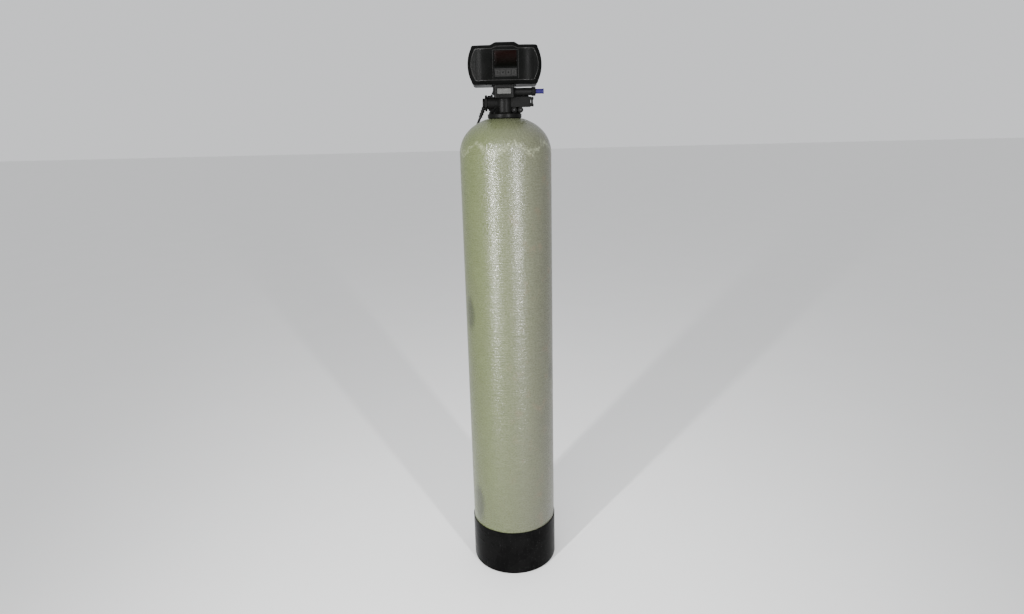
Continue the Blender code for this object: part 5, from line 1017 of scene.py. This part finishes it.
def valve_drills():
    """Everything that is cut from the body."""
    inside, outside = FLOW_RING
    slit = (INJECTOR_FACE - SLIT_WIDTH, sum(SLIT_HEIGHTS) / 2)
    drills = [
        block(rounded(SLIT_WIDTH, SLIT_HEIGHTS[1] - SLIT_HEIGHTS[0], 0.0008, slit, 3), -INJECTOR_DEPTH,
              INJECTOR_DEPTH, NECK),
        bar(STACK_RADIUS, STACK_FOOT, BLOCK_TOP + 0.002, NECK, UP),
        bar(RISER_WELL, -SPIGOT_DEPTH - 0.002, RISER_STOP, NECK, UP),
        bar(RING_SEAT, -SPIGOT_DEPTH - 0.003, -SPIGOT_DEPTH + 0.003, NECK, UP, 44),
        bar(THROAT, RISER_STOP - 0.001, STACK_FOOT + 0.001, NECK, UP, 40),
        turned([(inside, -SPIGOT_DEPTH - 0.002), (outside, -SPIGOT_DEPTH - 0.002), (outside, 0.0043),
                (inside, 0.0043)], NECK, UP, 52),
        bar(DRAIN_BORE, 0.028, DRAIN_FACE + 0.002, NECK + UP * DRAIN_HEIGHT, LEFT, 40),
    ]
    for side in (-1, 1):
        drills.append(bar(PORT_BORE, 0.008, PORT_END + 0.002, port_line(side), BACK, 36))
    for x, y in HEAD_SCREWS:
        drills.append(bar(SCREW_HOLE, BLOCK_TOP - SCREW_DEPTH, BLOCK_TOP + 0.002,
                          NECK + Vector((x, y, 0)), UP, 20))
    for x, z in BOSSES:
        drills.append(bar(SCREW_HOLE, -0.002, SCREW_DEPTH, NECK + Vector((x, -BOSS_FRONT, z)), BACK, 20))
    for z in CAP_SCREWS:
        drills.append(bar(SCREW_HOLE, INJECTOR_FACE - SCREW_DEPTH, INJECTOR_FACE + 0.002,
                          NECK + UP * z, RIGHT, 20))
    return drills


def make_valve_body():
    """The body as one moulding."""
    body = merged(valve_core(), "UNION", valve_housings())
    moulding("valve_moulding", merged(body, "DIFFERENCE", valve_drills()), "valve_plastic", "valve_body")


# Fittings on the valve's sides
DRAIN_STUB = 0.0130
DRAIN_TIP = 0.0600
DRAIN_SOCKET = 0.0070
DRAIN_HEX = 0.0370
HEX_WIDTH = 0.0060
NUT_RADIUS = 0.0118
NUT_SPAN = (0.0743, 0.0853)
NUT_BORE = 0.0067
NUT_FLUTES = 18
TUBE_LINE = NECK + Vector((0, -0.0260, 0.0695))


def polygon(sides, across_flats, spin=0.0):
    """A regular polygon given across its flats."""
    corner = across_flats / 2 / math.cos(math.pi / sides)
    return [(corner * math.cos(spin + ROUND * i / sides), corner * math.sin(spin + ROUND * i / sides))
            for i in range(sides)]


def chamfered_hex(across_flats, low, high, centre, axis, spin, ease=0.0007):
    """A hexagon with its corners turned down at both ends, for booleans."""
    corner = across_flats / 2 / math.cos(math.pi / 6)
    shape = block(polygon(6, across_flats), low, high, centre, spin)
    ends = [(0, low), (corner - ease, low), (corner + 0.0001, low + ease), (corner + 0.0001, high - ease),
            (corner - ease, high), (0, high)]
    return merged(shape, "INTERSECT", [turned(ends, centre, axis, 48)])


def make_drain_fitting():
    """Threaded drain fitting with its hexagon and a hose stub."""
    place = NECK + UP * DRAIN_HEIGHT
    face = DRAIN_FACE + TOUCH
    inner = DRAIN_FACE - 0.0130
    spigot = DRAIN_BORE - TOUCH
    profile = [(DRAIN_SOCKET, inner), (spigot, inner), (spigot, face + 0.001), (DRAIN_STUB, face + 0.001),
               *arc((DRAIN_STUB - 0.0015, DRAIN_TIP - 0.0015), 0.0015, 0, 1, 5),
               (DRAIN_SOCKET + 0.0008, DRAIN_TIP), (DRAIN_SOCKET, DRAIN_TIP - 0.0008)]
    fitting = turned(profile, place, LEFT, 64)
    leftward = Matrix.Rotation(-math.pi / 2, 3, "Y")
    hexagon = chamfered_hex(DRAIN_HEX, face, face + HEX_WIDTH, place, LEFT, leftward)
    merged(hexagon, "DIFFERENCE", [bar(spigot - 0.001, 0, 0.1, place, LEFT, 44)])
    moulding("drain_fitting_finished", merged(fitting, "UNION", [hexagon]), "valve_plastic", "drain_fitting")


def make_injector_nut():
    """Fluted ring nut at the end of the injector tube."""
    low, high = NUT_SPAN
    nut = turned([(NUT_BORE, low), (NUT_RADIUS, low), (NUT_RADIUS, high - 0.0020),
                  (NUT_RADIUS - 0.0018, high), (NUT_BORE, high)], TUBE_LINE, RIGHT, 72)
    flutes = []
    for i in range(NUT_FLUTES):
        angle = ROUND * i / NUT_FLUTES
        offset = Vector((0, math.cos(angle), math.sin(angle))) * (NUT_RADIUS + 0.0004)
        flutes.append(bar(0.0009, low + 0.0012, high + 0.001, TUBE_LINE + offset, RIGHT, 10))
    moulding("injector_nut_fluted", merged(nut, "DIFFERENCE", flutes), "valve_plastic", "injector_nut")


# Bypass at the back
BYPASS_FACE = 0.0490
BYPASS_END = 0.1040
ROTOR_BACK = 0.0780
HOUSING_RADIUS = 0.0165
HOUSING_HALF = 0.0165
WELL_RADIUS = 0.0133
WELL_LOW = -0.0135
THREAD_RADIUS = 0.0138
THREAD_LENGTH = 0.0085
THREAD_PITCH = 0.0017
CROSS_RADIUS = 0.0105
UNION_FLATS = 0.0315
UNION_SPAN = (0.0955, 0.1125)
TAIL_RADIUS = 0.0112
TAIL_SHOULDER = 0.1081


def make_bypass():
    """Bypass body: two tubes with threaded ends, rotor housings and the cross tube."""
    cross = PORT_SPACING / 2 + 0.003
    centre = NECK + Vector((0, ROTOR_BACK, PORT_HEIGHT))
    body = bar(CROSS_RADIUS, -cross, cross, centre, RIGHT, 44)
    flange = BYPASS_FACE + FLANGE_WIDTH
    start = BYPASS_END - THREAD_LENGTH
    cuts = []
    for side in (-1, 1):
        line = port_line(side)
        profile = [(0, BYPASS_FACE), (PORT_FLANGE, BYPASS_FACE), (PORT_FLANGE, flange), (PORT_RADIUS, flange),
                   (PORT_RADIUS, start), (THREAD_RADIUS - 0.0009, start)]
        for step in range(int(THREAD_LENGTH / THREAD_PITCH)):
            y = start + step * THREAD_PITCH
            profile += [(THREAD_RADIUS, y + THREAD_PITCH * 0.4), (THREAD_RADIUS, y + THREAD_PITCH * 0.6),
                        (THREAD_RADIUS - 0.0009, y + THREAD_PITCH)]
        profile += [(0, profile[-1][1])]
        housing = turned([(0, -HOUSING_HALF), (HOUSING_RADIUS - 0.0010, -HOUSING_HALF),
                          (HOUSING_RADIUS, -HOUSING_HALF + 0.0010), (HOUSING_RADIUS, HOUSING_HALF),
                          (0, HOUSING_HALF)], line + BACK * ROTOR_BACK, UP, 64)
        merged(body, "UNION", [turned(profile, line, BACK, 56), housing])
        cuts.append((bar(PORT_BORE, BYPASS_FACE - 0.002, BYPASS_END + 0.002, line, BACK, 36),
                     bar(WELL_RADIUS, WELL_LOW, HOUSING_HALF + 0.002, line + BACK * ROTOR_BACK, UP, 52)))
    merged(body, "DIFFERENCE", [c[0] for c in cuts] + [c[1] for c in cuts])
    merged(body, "DIFFERENCE", [bar(CROSS_RADIUS - 0.0035, -cross - 0.002, cross + 0.002, centre, RIGHT, 30)])
    moulding("bypass_moulding", body, "valve_plastic", "bypass_body")


def make_union_nut(side, word):
    """Union nut with eased corners and the recess for its tail."""
    line = port_line(side)
    low, high = UNION_SPAN
    backward = Matrix.Rotation(-math.pi / 2, 3, "X")
    nut = chamfered_hex(UNION_FLATS, low, high, line, BACK, backward)
    recess = [(0, low - 0.001), (THREAD_RADIUS + TOUCH, low - 0.001), (THREAD_RADIUS + TOUCH, TAIL_SHOULDER),
              (TAIL_RADIUS + TOUCH, TAIL_SHOULDER), (TAIL_RADIUS + TOUCH, high + 0.001), (0, high + 0.001)]
    merged(nut, "DIFFERENCE", [turned(recess, line, BACK, 52)])
    moulding(f"union_nut_{word}_finished", nut, "valve_plastic", f"union_nut_{word}")


make_tank()
make_boot()
make_valve_body()
make_drain_fitting()
make_injector_nut()
make_bypass()
for side, word in SIDES:
    make_union_nut(side, word)
    turned_like(f"coupling_{word}", "white_plastic", port_line(side), BACK, 0.0003)
    turned_like(f"port_tail_{word}", "valve_plastic", port_line(side), BACK, 0.0006)
    dressed(f"coupling_clip_{word}", "grey_plastic", 0.0004)
    dressed(f"handle_{word}", "valve_plastic", 0.0007, f"bypass_{word}", 3)
turned_like("injector_tube", "valve_plastic", TUBE_LINE, RIGHT, 0.0005)
turned_like("port_plug", "blue_plastic", TUBE_LINE, RIGHT, 0.0007)
dressed("injector_cap", "valve_plastic", 0.0005)
dressed("label_plate", "label_metal", 0.0002)


# Control head
COVER_LOW = TANK_TOP + 0.0874
COVER_HEIGHT = 0.0975
COVER_WIDTH = 0.1960
COVER_SHIFT = 0.0030
COVER_FRONT = 0.0800
COVER_BACK = 0.0520
COVER_WALL = 0.0025
COVER_BEVEL = 0.0085
BEVEL_DEPTH = 0.0095
SIDE_RADIUS = 0.0920
CORNER_RADIUS = 0.0070
HUMP_HEIGHT = 0.0068
HUMP_FOOT = (-0.0400, 0.0400)
HUMP_CREST = (-0.0215, 0.0245)
HUMP_STEPS = 10
BOW_START = 0.0450
BOW_DEPTH = 0.0120
PLATE_LIP = 0.0012
PLATE_WIDTH = 0.0035
PLATE_INNER = 0.0490
PLATE_POCKET = 0.0530
COVER_MIDDLE = COVER_LOW + COVER_HEIGHT / 2
SLOT_WIDTH = 0.0660
SLOT_FRONT = 0.0450
SHELF_FRONT = 0.0285
TAB_RADIUS = 0.0040
TAB_PLACES = tuple((x, z) for x in (-0.0340, 0.0440) for z in (TANK_TOP + 0.1005, TANK_TOP + 0.1660))


def eased(share):
    """A share from 0 to 1 that starts and ends gently."""
    return share * share * (3 - 2 * share)


def cover_stations():
    """Points of the cover's outline as (x, height above the middle, height below it)."""
    half = COVER_HEIGHT / 2
    arc_centre = COVER_WIDTH / 2 - SIDE_RADIUS
    corner_low = half - CORNER_RADIUS
    stations = []
    for step in range(17):
        height = corner_low * step / 16
        stations.append((arc_centre + math.sqrt(SIDE_RADIUS ** 2 - height ** 2), height))
    side = stations[-1][0]
    for step in range(1, 9):
        angle = step / 8 * math.pi / 2
        stations.append((side - CORNER_RADIUS * (1 - math.cos(angle)),
                         corner_low + CORNER_RADIUS * math.sin(angle)))
    stations += [(side - CORNER_RADIUS - step * 0.0040, half) for step in range(1, 5)]
    stations += [(x, half) for x in (0.0560, 0.0500, 0.0450)]
    right = [(x, h, h) for x, h in stations]
    left = [(-x, h, h) for x, h in stations[::-1]]
    middle = []
    for start, end, rising in ((HUMP_FOOT[1], HUMP_CREST[1], True), (HUMP_CREST[0], HUMP_FOOT[0], False)):
        for step in range(HUMP_STEPS + 1):
            share = step / HUMP_STEPS
            rise = eased(share if rising else 1 - share)
            middle.append((start + (end - start) * share, half + HUMP_HEIGHT * rise, half))
    return right + middle + left


def cover_bow(x):
    """How far the front face falls back towards the cover's sides."""
    past = max(0.0, abs(x) - BOW_START) / (COVER_WIDTH / 2 - BOW_START)
    return BOW_DEPTH * past ** 2


def cover_loop(bm, inset, y, bowed):
    """One closed loop of the cover: its outline drawn in by an inset, at a depth."""
    reach = COVER_WIDTH / 2
    half = COVER_HEIGHT / 2
    top, bottom = [], []
    for x, up, down in cover_stations():
        across = x * (reach - inset) / reach
        depth = y + (cover_bow(x) if bowed else 0.0)
        place = Vector((COVER_SHIFT + across, depth, COVER_MIDDLE))
        top.append(bm.verts.new(place + UP * up * (half - inset) / half))
        if down > 1e-9:
            bottom.append(bm.verts.new(place - UP * down * (half - inset) / half))
        else:
            bottom.append(top[-1])
    return top, bottom


def join_loops(bm, first, second):
    """Faces between two of the cover's loops."""
    for a, b in zip(first, second):
        for i in range(len(a) - 1):
            bm.faces.new((a[i], a[i + 1], b[i + 1], b[i]))


def close_loop(bm, loop):
    """Upright strips across a loop."""
    top, bottom = loop
    for i in range(len(top) - 1):
        bm.faces.new(list(dict.fromkeys((top[i], top[i + 1], bottom[i + 1], bottom[i]))))


def cover_shell(outer, inner=()):
    """Shell between outer and inner loops, each (inset, y, bowed) from front to rim."""
    bm = bmesh.new()
    outside = [cover_loop(bm, *spec) for spec in outer]
    inside = [cover_loop(bm, *spec) for spec in inner]
    for chain in (outside, inside):
        for first, second in zip(chain, chain[1:]):
            join_loops(bm, first, second)
    close_loop(bm, outside[0])
    if inside:
        close_loop(bm, inside[0])
        join_loops(bm, outside[-1], inside[-1])
    else:
        close_loop(bm, outside[-1])
    return solid(bm)


def make_cover():
    """Deep front cover: eased bevel round the face, hump on top, panel opening and a slot below."""
    flush = COVER_FRONT - BEVEL_DEPTH
    outer = [(COVER_BEVEL + 0.0008, -COVER_FRONT, True), (COVER_BEVEL, -COVER_FRONT + 0.0001, True),
             (COVER_BEVEL - 0.0008, -COVER_FRONT + 0.0004, True),
             (COVER_BEVEL - 0.0016, -COVER_FRONT + 0.0010, True), (0.0022, -flush - 0.0022, True),
             (0.0012, -flush - 0.0010, True), (0.0004, -flush + 0.0002, True), (0.0, -flush + 0.0015, True),
             (0.0, 0.0, False), (0.0, COVER_BACK - 0.0005, False), (0.0005, COVER_BACK, False)]
    inner = [(COVER_BEVEL + 0.0015, -COVER_FRONT + COVER_WALL, True),
             (COVER_WALL + 0.0005, -flush + COVER_WALL, True), (COVER_WALL, COVER_BACK, False)]
    cover = cover_shell(outer, inner)
    opening = sheet(PANEL_SIDES, PANEL_LOW, PANEL_TOP, PANEL_BACK - 0.01, COVER_FRONT + 0.01)
    slot_back = COVER_BACK + 0.005
    slot = block(rounded(SLOT_WIDTH, SLOT_FRONT + slot_back, 0.004, (0, (slot_back - SLOT_FRONT) / 2)),
                 COVER_LOW - 0.002, COVER_LOW + COVER_WALL + 0.002, spin=LEVEL)
    moulding("cover_moulding", merged(cover, "DIFFERENCE", [opening, slot]), "cover_plastic", "head_cover", 32)


def make_back_plate():
    """Back plate with a lip round the cover's rim, tabs and the shelf that carries the lead's bush."""
    lip = COVER_BACK + TOUCH
    tongue = COVER_WALL + TOUCH
    loops = [(tongue, PLATE_INNER, False), (tongue, lip, False), (-PLATE_LIP + 0.0004, lip, False),
             (-PLATE_LIP, lip + 0.0004, False), (-PLATE_LIP, lip + PLATE_WIDTH - 0.0014, False),
             (-PLATE_LIP + 0.0006, lip + PLATE_WIDTH - 0.0004, False), (0.0006, lip + PLATE_WIDTH, False)]
    plate = cover_shell(loops)
    pocket = cover_shell([(tongue + 0.0025, y, False) for y in (PLATE_INNER - 0.002, PLATE_POCKET)])
    merged(plate, "DIFFERENCE", [pocket])
    shelf = block(rounded(SLOT_WIDTH - 2 * TOUCH, PLATE_POCKET - SHELF_FRONT, 0.002,
                          (0, (SHELF_FRONT + PLATE_POCKET) / 2)),
                  SHELF_LOW, SHELF_LOW + SHELF_THICKNESS, spin=LEVEL)
    tabs = [bar(TAB_RADIUS, PLATE_INNER, PLATE_POCKET + 0.001, (x, 0, z), BACK, 24) for x, z in TAB_PLACES]
    merged(plate, "UNION", [shelf, *tabs])
    hole = bar(GLAND_NECK + TOUCH, SHELF_LOW - 0.01, SHELF_LOW + 0.01, GLAND_PLACE, UP, 40)
    moulding("back_plate_moulding", merged(plate, "DIFFERENCE", [hole]), "back_plastic_painted_light", "back_plate")


# Display panel, window and buttons
PANEL_SIDES = (-0.0290, 0.0400)
PANEL_LOW = TANK_TOP + 0.0995
PANEL_TOP = TANK_TOP + 0.1725
PANEL_FACE = 0.0792
PANEL_BACK = 0.0752
PANEL_LIP = 0.0020
WINDOW_SIDES = (-0.0240, 0.0350)
WINDOW_LOW = TANK_TOP + 0.1300
WINDOW_TOP = TANK_TOP + 0.1700
WINDOW_LEDGE = 0.0020
INSERT_FACE = 0.0794
INSERT_BACK = 0.0776
BEZEL_LOW = TANK_TOP + 0.1055
BEZEL_TOP = TANK_TOP + 0.1265
BEZEL_FACE = 0.0800
BEZEL_LEDGE = 0.0010
BUTTON_PITCH = 0.0144
BUTTON_WIDTH = 0.0120
BUTTON_HEIGHT = 0.0150
BUTTON_FACE = 0.0812
BUTTON_DISH = 0.0003
BUTTON_CORNER = 0.0020
BUTTON_GAP = 0.0003
BUTTON_LIP = 0.0006
STEM_RADIUS = 0.0020
STEM_END = 0.0692
BOARD_FRONT = 0.0662
BOARD_POST = 0.0026
POST_EDGE = 0.0025
PRINT_HEIGHT = 0.00008
EDGE_INSET = 0.0014
EDGE_WIDTH = 0.0008
EDGE_PROUD = 0.0004


def grown(sides, by):
    """Two ends moved apart."""
    return sides[0] - by, sides[1] + by


def make_panel():
    """Panel with its lip behind the cover, posts for the board and seats for window and bezel."""
    panel = sheet(grown(PANEL_SIDES, -TOUCH), PANEL_LOW + TOUCH, PANEL_TOP - TOUCH, PANEL_BACK, PANEL_FACE,
                  0.0012)
    lip = sheet(grown(PANEL_SIDES, PANEL_LIP), PANEL_LOW - PANEL_LIP, PANEL_TOP + PANEL_LIP, PANEL_BACK,
                COVER_FRONT - COVER_WALL - TOUCH)
    posts = [bar(BOARD_POST, BOARD_FRONT + TOUCH, PANEL_BACK + 0.001, (x, 0, z), FRONT, 20)
             for x in WINDOW_SIDES for z in (PANEL_LOW + POST_EDGE, PANEL_TOP - POST_EDGE / 3)]
    merged(panel, "UNION", [lip, *posts])
    seats = []
    for low, high, ledge in ((WINDOW_LOW, WINDOW_TOP, WINDOW_LEDGE), (BEZEL_LOW, BEZEL_TOP, BEZEL_LEDGE)):
        seats.append(sheet(WINDOW_SIDES, low, high, INSERT_BACK - TOUCH, 0.09))
        seats.append(sheet(grown(WINDOW_SIDES, -ledge), low + ledge, high - ledge, 0.07, 0.09))
    moulding("panel_moulding", merged(panel, "DIFFERENCE", seats), "cover_plastic", "display_panel")


def button_places():
    """Middle of each button, from left to right."""
    first = sum(WINDOW_SIDES) / 2 - BUTTON_PITCH * 1.5
    return [(first + BUTTON_PITCH * i, (BEZEL_LOW + BEZEL_TOP) / 2) for i in range(4)]


def domed_plate(sides, low, high, back, face, radius, ease, dish=0.0):
    """A bmesh plate with eased front edges and a slight dish in its face."""
    bm = bmesh.new()
    centre = ((sides[0] + sides[1]) / 2, (low + high) / 2)
    width, height = sides[1] - sides[0], high - low
    rings = [(0.0, back), (0.0, face - ease)]
    for step in range(1, 5):
        angle = step / 4 * math.pi / 2
        rings.append((ease * (1 - math.cos(angle)), face - ease * (1 - math.sin(angle))))
    for share in (0.35, 0.7, 0.9):
        rings.append((ease + (min(width, height) / 2 - ease) * share * 0.9, face - dish * eased(share)))
    loops = []
    for inset, depth in rings:
        corner = min(max(radius - inset, 0.0004), min(width, height) / 2 - inset - 1e-5)
        outline = rounded(width - 2 * inset, height - 2 * inset, corner, centre, 6)
        loops.append([bm.verts.new((x, -depth, z)) for x, z in outline])
    for first, second in zip(loops, loops[1:]):
        for i in range(len(first)):
            k = (i + 1) % len(first)
            bm.faces.new((first[i], first[k], second[k], second[i]))
    bm.faces.new(loops[0])
    bm.faces.new(loops[-1])
    return bm


def make_bezel():
    """Grey strip with round-cornered holes for the buttons."""
    strip = sheet(grown(WINDOW_SIDES, -TOUCH), BEZEL_LOW + TOUCH, BEZEL_TOP - TOUCH, INSERT_BACK, BEZEL_FACE,
                  0.0012)
    half_width = BUTTON_WIDTH / 2 + BUTTON_GAP
    half_height = BUTTON_HEIGHT / 2 + BUTTON_GAP
    holes = [sheet((x - half_width, x + half_width), z - half_height, z + half_height, 0.07, 0.09,
                   BUTTON_CORNER + BUTTON_GAP, 6) for x, z in button_places()]
    moulding("bezel_strip", merged(strip, "DIFFERENCE", holes), "grey_plastic", "button_bezel")


def make_window():
    """The window pane with eased edges."""
    pane = domed_plate(grown(WINDOW_SIDES, -TOUCH), WINDOW_LOW + TOUCH, WINDOW_TOP - TOUCH, INSERT_BACK,
                       INSERT_FACE, 0.0012, 0.0003)
    add_mesh("window_pane", pane, "window_plastic", ["display_window"])


def make_face_lines():
    """Fine raised edges: one round the cover's face and one along three sides of the panel, coloured lighter than the
    cover as a painted highlight.
    """
    bm = bmesh.new()
    inset = COVER_BEVEL + EDGE_INSET
    rings = [cover_loop(bm, inset + across, -COVER_FRONT - proud, True) for across, proud in
             ((-EDGE_WIDTH, -0.0002), (-EDGE_WIDTH / 2, EDGE_PROUD), (EDGE_WIDTH / 2, EDGE_PROUD),
              (EDGE_WIDTH, -0.0002))]
    for first, second in zip(rings, rings[1:] + rings[:1]):
        join_loops(bm, first, second)
    add_mesh("cover_edge_line", bm, "edge_painted_highlight")
    left, right = grown(PANEL_SIDES, -0.0006)
    low, high = PANEL_LOW + 0.0020, PANEL_TOP - 0.0006
    spans = (((left, right), high - EDGE_WIDTH), ((left, left + EDGE_WIDTH), low),
             ((right - EDGE_WIDTH, right), low))
    top, *lines = [sheet(sides, foot, high, PANEL_FACE - 0.0002, PANEL_FACE + EDGE_PROUD, 0.0002, 2)
                   for sides, foot in spans]
    add_mesh("panel_edge_line", opened(merged(top, "UNION", lines)), "edge_painted_highlight")


def print_on(name, outlines, index):
    """Thin printed shapes on a button's face."""
    x, z = button_places()[index - 1]
    bm = bmesh.new()
    face = BUTTON_FACE - BUTTON_DISH
    for outline in outlines:
        extruded(bm, outline, face - 0.0002, face + PRINT_HEIGHT, (x, 0, z), FACING)
    add_mesh(name, bm, "glyph_plastic", body=f"button_{index}")


def ring_outline(radius, start=0.0, sweep=ROUND, width=0.0004, steps=28):
    """A flat ring or part of one."""
    angles = [start + sweep * i / steps for i in range(steps + 1)]
    outer = [(radius * math.cos(a), radius * math.sin(a)) for a in angles]
    inner = [((radius - width) * math.cos(a), (radius - width) * math.sin(a)) for a in angles[::-1]]
    return outer + inner


def make_buttons():
    """Four caps in the bezel, each with a plain printed sign."""
    for index, (x, z) in enumerate(button_places(), start=1):
        sides = (x - BUTTON_WIDTH / 2, x + BUTTON_WIDTH / 2)
        low, high = z - BUTTON_HEIGHT / 2, z + BUTTON_HEIGHT / 2
        cap = solid(domed_plate(sides, low, high, INSERT_BACK - 0.0010, BUTTON_FACE, BUTTON_CORNER, 0.0006,
                                BUTTON_DISH))
        lip = sheet(grown(sides, BUTTON_LIP), low - BUTTON_LIP, high + BUTTON_LIP, INSERT_BACK - 0.0018,
                    INSERT_BACK - TOUCH)
        stem = bar(STEM_RADIUS, STEM_END, INSERT_BACK - 0.0012, (x, 0, z), FRONT, 24)
        button = f"button_{index}"
        add_mesh(f"button_cap_{index}", opened(merged(cap, "UNION", [lip, stem])), "button_plastic", [button], button)
    arrow = [(-0.0030, -0.0020), (0.0030, -0.0020), (0.0, 0.0028)]
    print_on("sign_bars", [rounded(0.0062, 0.0010, 0.0004, (0, h), 2) for h in (-0.0022, 0.0, 0.0022)], 1)
    print_on("sign_down", [[(x, -z) for x, z in arrow]], 2)
    print_on("sign_up", [arrow], 3)
    print_on("sign_turn", [ring_outline(0.0032, 0.6, ROUND - 1.2, 0.0009),
                           [(0.0016, 0.0002), (0.0042, 0.0006), (0.0026, 0.0032)]], 4)


make_cover()
make_back_plate()
make_panel()
make_bezel()
make_buttons()
make_face_lines()
make_window()


# Finishes of the solids that stay
def dress_solids():
    """Give every solid that still shows the material of its slot."""
    slots = {part["node"]: part["material_slot"] for part in frame["record"]["subparts"]}
    for name, item in frame["nodes"].items():
        look = "black_steel" if name.startswith("body_screw") else slots[name]
        item.data.materials.clear()
        item.data.materials.append(LOOKS[look])


dress_solids()


# Floor, world and lights
# World strength rises along two ways: from, to, low, high
WORLD_WAYS = (("Y", (-0.3, 0.75, 0.21, 0.90)), ("Z", (0.35, 1.0, 0, 0.70)))
WORLD_COLOUR = (0.97, 0.98, 1.0, 1.0)
FLOOR_REACH = 40.0
FLOOR_DROP = 0.0002
# Strips: angle from the front, distance, width and power, then what they share
STRIPS = (("strip_left", -33, 2.3, 0.07, 52), ("strip_right", 25, 2.4, 0.07, 42))
STRIP_HEIGHT = 2.3
STRIP_MIDDLE = 1.25
STRIP_AIM = (0, 0, 1.05)
STRIP_SPREAD = 100
FILL_PLACE = (-0.8, -2.6, 2.5)
FILL_AIM = (0, 0, 0.8)
FILL_SIDE = 1.6
FILL_POWER = 40


def area_light(name, place, aim, width, height, power, spread=180):
    """A soft rectangular light that faces a point."""
    data = bpy.data.lights.new(name, "AREA")
    data.shape = "RECTANGLE"
    data.size = width
    data.size_y = height
    data.energy = power
    data.spread = math.radians(spread)
    light = bpy.data.objects.new(name, data)
    light.location = place
    light.rotation_euler = (Vector(aim) - Vector(place)).to_track_quat("-Z", "Y").to_euler()
    bpy.context.collection.objects.link(light)


def make_floor():
    """A plain pale floor."""
    mesh = bpy.data.meshes.new("floor")
    corners = [(x * FLOOR_REACH, y * FLOOR_REACH, 0) for x, y in ((-1, -1), (1, -1), (1, 1), (-1, 1))]
    mesh.from_pydata(corners, [], [(0, 1, 2, 3)])
    floor = bpy.data.objects.new("floor", mesh)
    floor.location.z = -FLOOR_DROP
    mesh.materials.append(floor_material())
    bpy.context.collection.objects.link(floor)


def make_world():
    """A pale world, brighter behind the object and overhead."""
    world = bpy.data.worlds.new("studio")
    bpy.context.scene.world = world
    world.use_nodes = True
    nodes, links = world.node_tree.nodes, world.node_tree.links
    backdrop = nodes["Background"]
    backdrop.inputs["Color"].default_value = WORLD_COLOUR
    way = nodes.new("ShaderNodeSeparateXYZ")
    links.new(nodes.new("ShaderNodeTexCoord").outputs["Generated"], way.inputs[0])
    total = nodes.new("ShaderNodeMath")
    for socket, (axis, numbers) in zip(total.inputs, WORLD_WAYS):
        spread = nodes.new("ShaderNodeMapRange")
        spread.interpolation_type = "SMOOTHSTEP"
        for key, number in zip(("From Min", "From Max", "To Min", "To Max"), numbers):
            spread.inputs[key].default_value = number
        links.new(way.outputs[axis], spread.inputs["Value"])
        links.new(spread.outputs[0], socket)
    links.new(total.outputs[0], backdrop.inputs["Strength"])


def make_lights():
    """Two tall strips for the tank's highlights, and soft fill."""
    for name, angle, distance, width, power in STRIPS:
        turn = math.radians(angle)
        place = (distance * math.sin(turn), -distance * math.cos(turn), STRIP_MIDDLE)
        area_light(name, place, STRIP_AIM, width, STRIP_HEIGHT, power, STRIP_SPREAD)
    area_light("front_fill", FILL_PLACE, FILL_AIM, FILL_SIDE, FILL_SIDE, FILL_POWER)


make_floor()
make_world()
make_lights()
